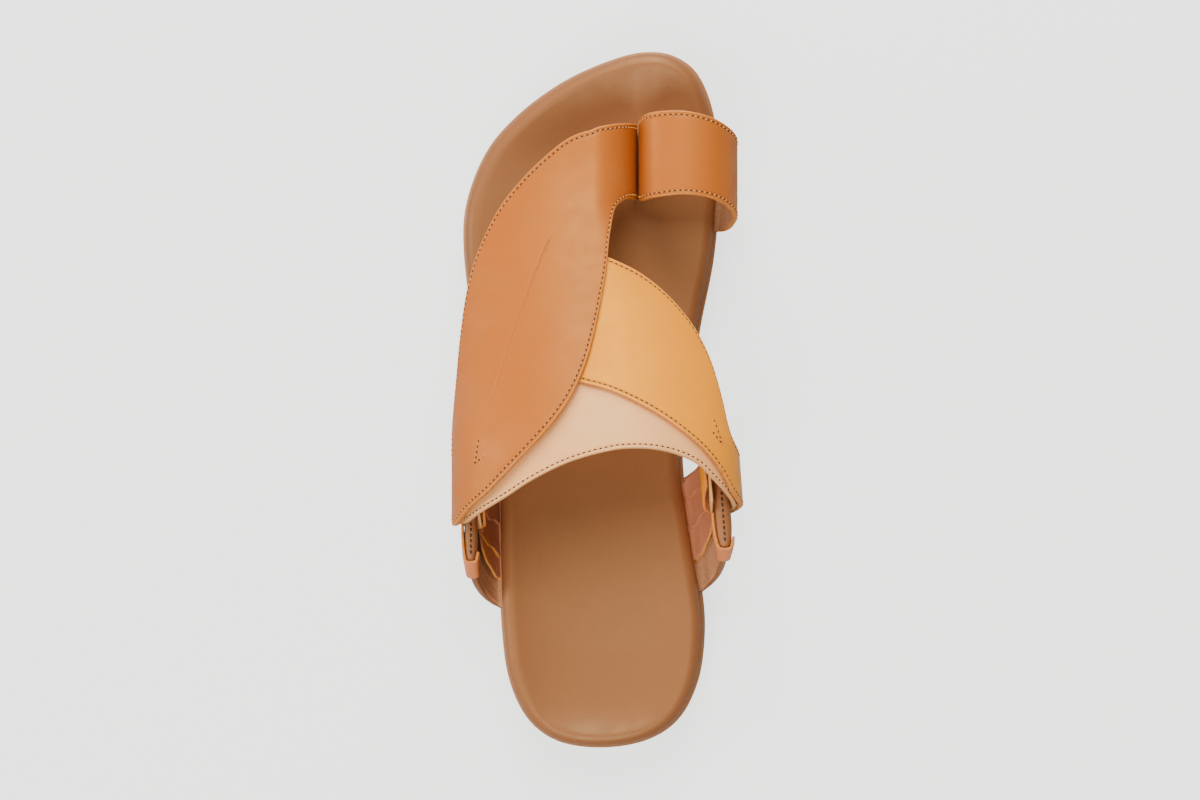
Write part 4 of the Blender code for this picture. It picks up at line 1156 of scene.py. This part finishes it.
def paper_nodes(tree, shader):
    """Plain matt paper with hardly any tooth, which the camera sees a little brighter than it is lit."""
    seen = node(tree, "LightPath").outputs["Is Camera Ray"]
    join(tree, shader, {
        "Base Color": mix(tree, noise(tree, 900.0, 2.0), tint(0.992, "floor"), tint(1.008, "floor")),
        "Roughness": 0.95,
        "Specular IOR Level": 0.1,
        "Emission Color": (1.0, 1.0, 0.98, 1.0),
        "Emission Strength": calc(tree, "MULTIPLY", seen, bpy.context.scene.sandal_stage.floor_glow),
    })


def material(name):
    """The finish of this name, made on its first use."""
    found = bpy.data.materials.get(name)
    if found:
        return found
    made = bpy.data.materials.new(name)
    made.use_nodes = True
    tree, shader = made.node_tree, made.node_tree.nodes["Principled BSDF"]
    if name in LEATHERS:
        leather_nodes(tree, shader, *LEATHERS[name])
    elif name in FIBRES:
        fibre_nodes(tree, shader, *FIBRES[name])
    else:
        paper_nodes(tree, shader)
    return made


def weld(piece):
    bm = bmesh.new()
    bm.from_mesh(piece.data)
    bmesh.ops.remove_doubles(bm, verts=bm.verts, dist=1e-6)
    bmesh.ops.recalc_face_normals(bm, faces=bm.faces)
    bm.to_mesh(piece.data)
    bm.free()


def sole_layer(last, name, node_name, slot, finish, layers):
    """A closed layer of the sole. layers: for each ring its inset, the share of the way out, and its height."""
    centres, directions = last.fan()
    rings = []
    for inset, part, height in layers:
        plan = centres + (last.reach(centres, directions, inset) - centres) * part
        rings.append(np.column_stack([plan, height(plan[:, 0], plan[:, 1])]))
    count = len(centres)
    here = np.arange(count)
    after = np.roll(here, -1)
    quads = np.stack([here, after, after + count, here + count], axis=1)
    faces = np.vstack([quads + count * ring for ring in range(len(rings) - 1)])
    made = make_mesh(name, np.vstack(rings), faces.tolist(), [0] * len(faces), [finish])
    weld(made)
    rest(made, slot, node_name)
    return made


class SANDAL_OT_outsole(Operator):
    """Rubber outsole with a ribbed edge and shallow grooves underneath"""

    bl_idname = "sandal.outsole"
    bl_label = "Outsole"

    def execute(self, context):
        last = Last(context.scene)
        inset, thick = last.sole.outsole_inset, last.sole.outsole_thickness

        def at(level):
            return lambda x, y: last.ground(y) + level

        layers = [(inset + 0.4 * MM, part, at(thick)) for part in (0.0, 0.5, 0.8, 1.0)]
        layers += [(inset + far * MM, 1.0, at(thick * up)) for far, up in OUTSOLE_SIDE]
        layers += [(inset + far * MM, 1.0, at(deep * MM)) for far, deep in GROOVES]
        layers += [(inset + GROOVES[-1][0] * MM, part, at(0.0)) for part in (0.8, 0.6, 0.4, 0.2, 0.0)]
        sole_layer(last, "outsole_rubber_sole", "outsole", "outsole_rubber", "sole_rubber", layers)
        return {"FINISHED"}


class SANDAL_OT_midsole(Operator):
    """Midsole wrapped in brown leather"""

    bl_idname = "sandal.midsole"
    bl_label = "Midsole"

    def execute(self, context):
        last = Last(context.scene)
        corner = last.sole.midsole_round

        def at(up):
            def height(x, y):
                low = last.ground(y) + last.sole.outsole_thickness + last.sole.fit_gap
                return low + (last.midsole_top(y) - low) * up

            return height

        layers = [(corner, part, at(1.0)) for part in (0.0, 0.4, 0.7, 0.9)]
        layers += [(corner * inset, 1.0, at(up)) for inset, up in MIDSOLE_SIDE]
        layers += [(corner, part, at(0.0)) for part in (0.7, 0.3, 0.0)]
        sole_layer(last, "midsole_wrap", "midsole", "wrap_leather", "wrap_hide", layers)
        return {"FINISHED"}


class SANDAL_OT_footbed(Operator):
    """Padded leather footbed with toe hollows, a heel cup and a rounded shoulder"""

    bl_idname = "sandal.footbed"
    bl_label = "Footbed"

    def execute(self, context):
        last = Last(context.scene)
        size = last.sole
        rim = size.footbed_ledge + size.shoulder_width

        def top(part, drop=0.0):
            return lambda x, y: last.bed_height(x, y, part) - drop

        layers = [(rim, part, top(part)) for part in np.linspace(0, 1, 24)]
        for angle in SHOULDER_TURNS:
            turn = math.radians(angle)
            drop = size.shoulder_drop * (1 - math.cos(turn))
            layers.append((rim - size.shoulder_width * math.sin(turn), 1.0, top(1.0, drop)))
        for part in (1.0, 0.5, 0.0):
            layers.append((size.footbed_ledge, part, lambda x, y: last.midsole_top(y) + size.fit_gap))
        made = sole_layer(last, "footbed_padded", "footbed", "footbed_leather", "footbed_hide", layers)
        return {"FINISHED"}


def tack_line(last, corners, lift, count=9):
    """Points and normals of a short row of stitches over the last, through corners given as turn and along."""
    places, knots = np.linspace(0, len(corners) - 1, count), np.arange(len(corners))
    turns, alongs = (np.interp(places, knots, column) for column in np.array(corners).T)
    across = last.over(turns + 0.5, alongs, lift) - last.over(turns - 0.5, alongs, lift)
    ahead = last.over(turns, alongs + 0.002, lift) - last.over(turns, alongs - 0.002, lift)
    return last.over(turns, alongs, lift), unit(np.cross(across, ahead))


def strap_piece(last, name, rows, thicknesses, line=None, tack=None):
    """One strap with its stitches. line: where a line is pressed in. tack: a further row of stitches."""
    size = last.finish
    slot, *finishes, thread, first, end = STRAPS[name]
    grid, rim, ends, (at, knots), depth = strap_grid(rows, size, line)
    thickness = np.interp(at, knots, thicknesses)[:, None]
    trough = np.exp(-(((rim - size.stitch_inset) / TROUGH_WIDTH) ** 2))
    dent = size.groove_depth * trough + size.pressed_depth * depth
    distance = np.minimum(rim, ends[:, None])
    full_name = f"{name}_leather"
    made, top, normals = leather(full_name, grid, distance, thickness, size.edge_round, finishes, dent=dent)
    rest(made, slot, name)
    column = int(np.argmin(np.abs(rim[len(rim) // 2, : rim.shape[1] // 2] - size.stitch_inset)))
    stitched = slice(int(first * len(grid)), int(end * len(grid)))
    lines = [(top[stitched, j], normals[stitched, j]) for j in (column, grid.shape[1] - 1 - column)]
    lines += [tack] if tack else []
    sew(f"{full_name}_stitches", lines, size, thread, "pinhole_shade", slot)


class SANDAL_OT_instep_band(Operator):
    """Beige band over the instep, hung from both bars"""

    bl_idname = "sandal.instep_band"
    bl_label = "Instep band"

    def execute(self, context):
        last = Last(context.scene)
        table = [last.anchor_row(-1), *INSTEP_BAND, last.anchor_row(1)]
        lift, tail_lift = last.band_lift(0), last.strap.skived / 2
        outer, inner = (wrap_rows(last, side, lift, tail_lift, "band") for side in SIDES)
        rows = [*outer[::-1][:-1], *arch_rows(last, table, last.band_lift)[:-1], *inner]
        thickness = pared(last, len(rows), (outer[:-1], inner), last.strap.band_thickness)
        strap_piece(last, "instep_band", rows, thickness)
        return {"FINISHED"}


class SANDAL_OT_cross_strap(Operator):
    """Ochre strap from under the main strap to the inner bar"""

    bl_idname = "sandal.cross_strap"
    bl_label = "Cross strap"

    def execute(self, context):
        last = Last(context.scene)
        body = arch_rows(last, [*CROSS_STRAP, last.anchor_row(1)], last.cross_lift)
        wrap = wrap_rows(last, 1, last.cross_lift(0), UPPER_TAIL * last.strap.skived, "cross")
        rows = [*body[:-1], *wrap]
        thickness = pared(last, len(rows), ([], wrap), last.strap.band_thickness)
        tack = tack_line(last, TACKS["cross"], last.cross_lift(60) + last.strap.band_thickness / 2)
        strap_piece(last, "cross_strap", rows, thickness, tack=tack)
        return {"FINISHED"}


def pressed_line(table, before, after):
    """Where the pressed line crosses each row of the main strap. before and after: rows at its two ends."""
    start, end = np.array(PRESSED_LINE)
    found = []
    for row in rounded_path(table, 4):
        across, gap = row[2:] - row[:2], start - row[:2]
        way = np.linalg.det([across, end - start])
        share_across = np.linalg.det([gap, end - start]) / way
        found.append((float(np.clip(share_across, 0.15, 0.85)), np.linalg.det([gap, across]) / way))
    return [found[0]] * before + found + [found[-1]] * after


class SANDAL_OT_main_strap(Operator):
    """Leaf-shaped tan strap from the outer bar to the slot between the toes"""

    bl_idname = "sandal.main_strap"
    bl_label = "Main strap"

    def execute(self, context):
        last = Last(context.scene)
        wrap = wrap_rows(last, -1, last.main_lift(-90), UPPER_TAIL * last.strap.skived, "main")
        table = [last.anchor_row(-1), *MAIN_STRAP]
        body = arch_rows(last, table, last.main_lift)
        rear, front = body[-1](np.array([0.0, 1.0]))
        post = post_rows(last, last.post_x(-1, last.strap.strap_thickness), rear[1], front[1], rear[2])
        rows = [*wrap[::-1][:-1], *body, *post]
        thickness = pared(last, len(rows), (wrap[:-1], []), last.strap.strap_thickness)
        line = pressed_line(table, len(wrap) - 1, len(post))
        tack = tack_line(last, TACKS["main"], last.main_lift(-50) + last.strap.strap_thickness / 2)
        strap_piece(last, "main_strap", rows, thickness, line, tack)
        return {"FINISHED"}


def ring_rows(last):
    x0 = last.post_x(1, last.strap.ring_thickness)
    loop = []
    for across, rise, rear, front in rounded_path(TOE_RING, 4):
        x = x0 + across * last.strap.ring_span
        z = last.bed_line(last.y_at((rear + front) / 2)) + rise * last.strap.ring_rise
        loop.append(((x, last.y_at(rear), z), (x, last.y_at(front), z)))
    post = post_rows(last, x0, loop[0][0][1], loop[0][1][1], loop[0][0][2])
    foot = []
    margin = last.strap.lasting_margin
    for out, rise in RING_HEM:
        ends = []
        for along in RING_FOOT:
            y = last.y_at(along)
            z = last.midsole_top(y) - last.strap.ring_thickness / 2 + rise * margin
            ends.append((last.edge_x(y, 1) + out * margin, y, float(z)))
        foot.append(follow_edge(last, between(*ends)))
    return [*post[::-1], *[between(*pair) for pair in loop], *foot]


def follow_edge(last, row):
    """The row bent to the sole's outline and level between its two ends."""

    def bent(t):
        points, ends = row(t), row(np.array([0.0, 1.0]))[:, 1]
        y = points[:, 1]
        points[:, 0] += last.edge_x(y, 1) - np.interp(y, ends, last.edge_x(ends, 1))
        points[:, 2] += last.midsole_top(y) - np.interp(y, ends, last.midsole_top(ends))
        return points

    return bent


class SANDAL_OT_toe_ring(Operator):
    """Tan loop over the big toe, from the slot into the inner side of the sole"""

    bl_idname = "sandal.toe_ring"
    bl_label = "Toe ring"

    def execute(self, context):
        last = Last(context.scene)
        rows = ring_rows(last)
        strap_piece(last, "toe_ring", rows, [last.strap.ring_thickness] * len(rows))
        return {"FINISHED"}


class Wing:
    """The middle surface of one side wing. a: from its rear to its front edge. b: from the sole to the bar."""

    def __init__(self, last, side):
        self.last, self.side = last, side
        wing = last.wing
        self.top = wing.bar_height + wing.bar_depth / 2
        self.low = self.height_share(wing.bar_height - wing.bar_depth / 2 - wing.slot_height)
        self.high = self.height_share(wing.bar_height - wing.bar_depth / 2)
        rear, width = last.anchor(side)
        back, front = self.at((0.0, 1.0), (self.low + self.high) / 2)[:, 1]
        self.start = (rear - wing.slot_room - back) / (front - back)
        self.end = (rear + width + wing.slot_room - back) / (front - back)

    def at(self, a, b):
        a, b = np.broadcast_arrays(np.asarray(a, float), np.asarray(b, float))
        last, side = self.last, self.side
        base_rear, base_front, _, _, sweep, bulge = WINGS[side]
        bar_rear, bar_front = last.bar_span(side)
        base_y = last.y_at(base_rear + (base_front - base_rear) * a)
        bar_y = bar_rear + (bar_front - bar_rear) * a
        base_x = np.abs(last.edge_x(base_y, side))
        base_z = last.midsole_top(base_y) - last.wing.wing_thickness / 2
        turn = np.pi / 2 * np.maximum(b, 0)
        rise = 1 - np.cos(turn)
        out = np.sin(turn) + bulge * np.sin(turn) ** 4 * np.sin(2 * turn)
        ahead = sweep * np.sin(turn) + (1 - sweep) * rise**1.5
        under = np.minimum(b, 0) * last.strap.lasting_margin
        x = side * (base_x + under + (last.bar_x(side, bar_y) - base_x) * out)
        return np.stack([x, base_y + (bar_y - base_y) * ahead, base_z + (self.top - base_z) * rise], axis=-1)

    def height_share(self, z):
        base = self.at(0.5, 0.0)[2]
        return math.acos(1 - (z - base) / (self.top - base)) / (math.pi / 2)

    def thickness(self, a, b):
        """Leather under the slot, and the padded bar over it, slimmer towards its ends."""
        share_up = np.clip((b - self.low) / (self.high - self.low), 0, 1)
        thin, thick = self.last.wing.wing_thickness, self.last.bar_thickness(self.side)
        return thin + (thick * ramp(a, BAR_SHAPE, 1) - thin) * share_up**2

    def outward(self, a, b, step=0.01):
        along = self.at(a + step, b) - self.at(a - step, b)
        up = self.at(a, b + step) - self.at(a, np.maximum(b - step, 0.0))
        normal = unit(np.cross(along, up))
        return np.where(normal[..., :1] * self.side > 0, normal, -normal)


def past_slot(corners, size, last_near, steps):
    """Places on a wing, in shares of its size, with lines of points close to its edges and to the slot's."""
    found = [corners[:1]]
    for low, high, near, step in zip(corners, corners[1:], (1, 1, last_near), steps):
        found.append(low + spread((high - low) * size, WING_EDGE * near, step * MM)[1:] / size)
    return np.concatenate(found)


def within(places, low, high):
    return (places > low + 1e-6) & (places < high - 1e-6)


def middles(places):
    return (places[1:] + places[:-1]) / 2


class SANDAL_OT_side_wings(Operator):
    """Brown leather wings with a stitched folded bar over each slot"""

    bl_idname = "sandal.side_wings"
    bl_label = "Side wings"

    def execute(self, context):
        last = Last(context.scene)
        for side, word in SIDES.items():
            wing = Wing(last, side)
            self.cover(wing, f"side_wing_{word}")
            line = wing.at(np.linspace(0.03, 0.97, 60), 1.0)
            up = np.broadcast_to((0.0, 0.0, 1.0), line.shape)
            sew(
                f"side_wing_{word}_stitches", [(line, up)], last.finish, "brown_thread", "wing_hide",
                "wing_leather", lift=-0.15 * MM, dash=(0.9, 1.3)
            )
        return {"FINISHED"}

    def cover(self, wing, name):
        """Leather of one wing, with its slot, and small pleats in its lining."""
        slot_a, slot_b = (wing.start, wing.end), (wing.low, wing.high)
        width = np.linalg.norm(wing.at(1.0, wing.high) - wing.at(0.0, wing.high))
        tall = distances(wing.at(0.5, np.linspace(-1, 1, 33)))[-1] / 2
        a = past_slot((0.0, *slot_a, 1.0), width, 0.45, (1.6, 1.6, 1.6))[:: -wing.side]
        b = past_slot((-1.0, *slot_b, 1.0), tall, 0.8, (1.2, 1.2, 0.8))[:, None]
        off_a = np.maximum(np.maximum(wing.start - a, a - wing.end), 0.0) * width
        off_b = np.maximum(np.maximum(wing.low - b, b - wing.high), 0.0) * tall
        outer = np.minimum(np.minimum(a, 1 - a) * width, np.minimum(b + 1, 1 - b) * tall)
        in_slot = within(a, *slot_a) & within(b, *slot_b)
        rim = np.where(in_slot, 0.0, np.minimum(outer, np.hypot(off_a, off_b)))
        hole = within(middles(a), *slot_a) & within(middles(b), *slot_b)
        radius = np.where(b > wing.low, 1.7 * MM, 0.9 * MM)
        pleat = PLEAT_DEPTH * np.sin(a * 95 + 2.0 * np.sin(b * 7)) * np.clip(1.2 - b, 0, 1)
        pleat = pleat * np.clip((PLEATED_PART - a) * 4, 0, 1)
        made, _, _ = leather(
            f"{name}_leather", wing.at(a, b), rim, wing.thickness(a, b), radius,
            ("wing_hide", "soft_lining", "wing_hide"), cells=~hole, under=pleat
        )
        rest(made, "wing_leather", name)


class SANDAL_OT_strip_panels(Operator):
    """Lapped rust strips with wavy yellow cut edges inside each wing"""

    bl_idname = "sandal.strip_panels"
    bl_label = "Strip panels"

    def execute(self, context):
        last = Last(context.scene)
        for side, word in SIDES.items():
            edges = STRIP_EDGES[side]
            for number, (edge, ahead) in enumerate(zip(edges, edges[1:])):
                grid, rim = self.strip(Wing(last, side), edge, ahead, number)
                cut = "yellow_cut_edge" if number < RAW_EDGES[side] else "strip_hide"
                made, _, _ = leather(
                    f"strip_{word}_{number + 1}", grid[:, ::-side], rim[:, ::-side],
                    last.wing.strip_thickness, 0.35 * MM, ("soft_lining", "strip_hide", cut)
                )
                rest(made, "strip_leather", *([] if number else [f"strip_panel_{word}"]))
        return {"FINISHED"}

    def strip(self, wing, edge, ahead, number):
        """Points of one strip, from its own edge to under the next one, and their distances from its edges."""
        wings = wing.last.wing
        b = np.linspace(-0.2, wing.low - 0.02, STRIP_GRID[0])
        up = (b - b[0]) / (b[-1] - b[0])
        wave = sum(size * np.sin(turn * up + shift * number) for size, turn, shift in STRIP_WAVES)
        rear = edge[0] + (edge[1] - edge[0]) * up + wave
        front = ahead[0] + (ahead[1] - ahead[0]) * up + STRIP_LAP
        near = rounded_edge(wing.last.finish, END_TURNS)
        width = np.linalg.norm(wing.at(1.0, 0.4) - wing.at(0.0, 0.4))
        rows, rims = [], []
        for low, high, place in zip(rear, front, b):
            across = spread((high - low) * width, near, 1.5 * MM)
            shares = np.linspace(0, 1, STRIP_GRID[1]), np.linspace(0, 1, len(across))
            across = np.interp(*shares, across)
            across[: len(near)] = near
            a = low + across / width
            step = wings.strip_step * (high - a) / (high - low) * np.clip(4 * place, 0, 1)
            away = wings.wing_thickness / 2 + wings.strip_gap + wings.strip_thickness / 2 + step
            rows.append(wing.at(a, place) - wing.outward(a, max(place, 0.03)) * away[:, None])
            rims.append(from_ends(across))
        grid = np.array(rows)
        return grid, np.minimum(rims, from_ends(distances(grid[:, 12]))[:, None])


class SANDAL_OT_sleeves(Operator):
    """Tan leather folded round the rear upright of each wing, with a painted cut edge"""

    bl_idname = "sandal.sleeves"
    bl_label = "Sleeves"

    def execute(self, context):
        last = Last(context.scene)
        near = rounded_edge(last.finish, END_TURNS)
        for side, word in SIDES.items():
            rows = self.rows(Wing(last, side))
            knots = distances(rows[:, 14])
            at = spread(knots[-1], near, 1.0 * MM)
            grid = through(rows, knots, at).transpose(1, 0, 2)
            place = distances(grid)
            cross = spread(place[-1], near, 0.8 * MM)
            grid = through(grid, place, cross)[::side].transpose(1, 0, 2)
            rim = np.minimum(from_ends(at)[:, None], from_ends(cross))
            # The sleeves' face is a lighter, pinker tan than the straps': painted sheen.
            finishes = ("sleeve_hide", "soft_lining", "cut_edge_paint")
            name, thickness = f"sleeve_{word}", last.wing.sleeve_thickness
            made, _, _ = leather(f"{name}_leather", grid, rim, thickness, 0.4 * MM, finishes)
            rest(made, "tan_leather", name)
        return {"FINISHED"}

    def rows(self, wing):
        """Rows of points from the upright's outer face round its rear edge to its inner face."""
        gap = 0.5 * wing.last.sole.fit_gap + wing.last.wing.sleeve_thickness / 2
        outer, end_count, inner = SLEEVE_POINTS
        turn = np.linspace(0, np.pi, end_count)[1:-1, None]
        found = []
        for up, outside, inside in rounded_path(SLEEVES[wing.side], 4):

            def face(a, way):
                away = (wing.thickness(a, up) / 2 + gap)[:, None]
                return wing.at(a, up) + way * wing.outward(a, up) * away

            normal = wing.outward(0.0, up)
            back = wing.at(0.0, up) - wing.at(0.02, up)
            back = unit(back - normal * np.dot(normal, back))
            end = normal * np.cos(turn) + 0.3 * back * np.sin(turn)
            found.append(np.vstack([
                face(wing.start * outside * np.linspace(1, 0, outer), 1),
                wing.at(0.0, up) + (wing.thickness(0.0, up) / 2 + gap) * end,
                face(wing.start * inside * np.linspace(0, 1, inner), -1),
            ]))
        return np.array(found)


class SANDAL_OT_stage(Operator):
    """Plain pale floor, soft lights and the camera over the shoe"""

    bl_idname = "sandal.stage"
    bl_label = "Stage"

    def execute(self, context):
        stage = context.scene.sandal_stage
        corners = FLOOR_HALF * np.array([(-1, -1, 0), (1, -1, 0), (1, 1, 0), (-1, 1, 0)], float)
        make_mesh("floor", corners, [(0, 1, 2, 3)], [0], ["floor_paper"])
        for name, azimuth, elevation, watts in SOFTBOXES:
            data = bpy.data.lights.new(name, "AREA")
            data.shape, data.size, data.energy = "SQUARE", stage.light_width, watts
            turn, rise = math.radians(azimuth), math.radians(elevation)
            away = Vector((math.sin(turn) * math.cos(rise), math.cos(turn) * math.cos(rise), math.sin(rise)))
            place(name, data, LIT_PLACE + away * stage.light_distance, away.to_track_quat("Z", "Y"))
        world = bpy.data.worlds.new("studio")
        world.use_nodes = True
        sky = world.node_tree.nodes["Background"]
        sky.inputs["Color"].default_value = (0.96, 0.98, 1.0, 1.0)
        sky.inputs["Strength"].default_value = stage.sky_strength
        context.scene.world = world
        self.camera(context, stage)
        return {"FINISHED"}

    def camera(self, context, stage):
        middle = (CAD_BOUNDS[0] + CAD_BOUNDS[1]) / 2
        data = bpy.data.cameras.new("camera")
        location = Vector((stage.camera_x, stage.camera_y, stage.camera_height))
        away = location - Vector((middle.x, middle.y, AIM_HEIGHT))
        right = Vector((0.0, 1.0, 0.0)).cross(away).normalized()
        axes = Matrix((right, away.cross(right).normalized(), away.normalized())).transposed()
        data.lens = data.sensor_width * away.length / stage.view_width
        data.clip_end = 20.0
        context.scene.camera = place("camera", data, location, axes.to_quaternion())


def place(name, data, location, turn):
    """A light or camera in the scene, turned by a quaternion."""
    made = bpy.data.objects.new(name, data)
    made.location, made.rotation_mode, made.rotation_quaternion = location, "QUATERNION", turn
    bpy.context.scene.collection.objects.link(made)
    return made


PIECES = (
    SANDAL_OT_outsole,
    SANDAL_OT_midsole,
    SANDAL_OT_footbed,
    SANDAL_OT_instep_band,
    SANDAL_OT_cross_strap,
    SANDAL_OT_main_strap,
    SANDAL_OT_toe_ring,
    SANDAL_OT_side_wings,
    SANDAL_OT_strip_panels,
    SANDAL_OT_sleeves,
    SANDAL_OT_stage,
)


class SANDAL_PT_panel(Panel):
    """Buttons for each piece of the sandal"""

    bl_idname = "SANDAL_PT_panel"
    bl_label = "Arabic sandal"
    bl_space_type = "VIEW_3D"
    bl_region_type = "UI"
    bl_category = "Sandal"

    def draw(self, context):
        for piece in PIECES:
            self.layout.operator(piece.bl_idname)


GROUPS = {
    "sandal_sole": SoleSizes,
    "sandal_straps": StrapSizes,
    "sandal_wings": WingSizes,
    "sandal_finish": FinishSizes,
    "sandal_colours": LeatherColours,
    "sandal_stage": StageSizes,
}


def register():
    for name, group in GROUPS.items():
        bpy.utils.register_class(group)
        setattr(bpy.types.Scene, name, PointerProperty(type=group))
    for kind in (*PIECES, SANDAL_PT_panel):
        bpy.utils.register_class(kind)


def unregister():
    for kind in (SANDAL_PT_panel, *reversed(PIECES)):
        bpy.utils.unregister_class(kind)
    for name, group in reversed(list(GROUPS.items())):
        delattr(bpy.types.Scene, name)
        bpy.utils.unregister_class(group)


def main():
    register()
    for old in list(bpy.data.objects):
        if old.type in {"LIGHT", "CAMERA"}:
            bpy.data.objects.remove(old)
    for piece in PIECES:
        group, name = piece.bl_idname.split(".")
        getattr(getattr(bpy.ops, group), name)()


if __name__ == "__main__":
    main()
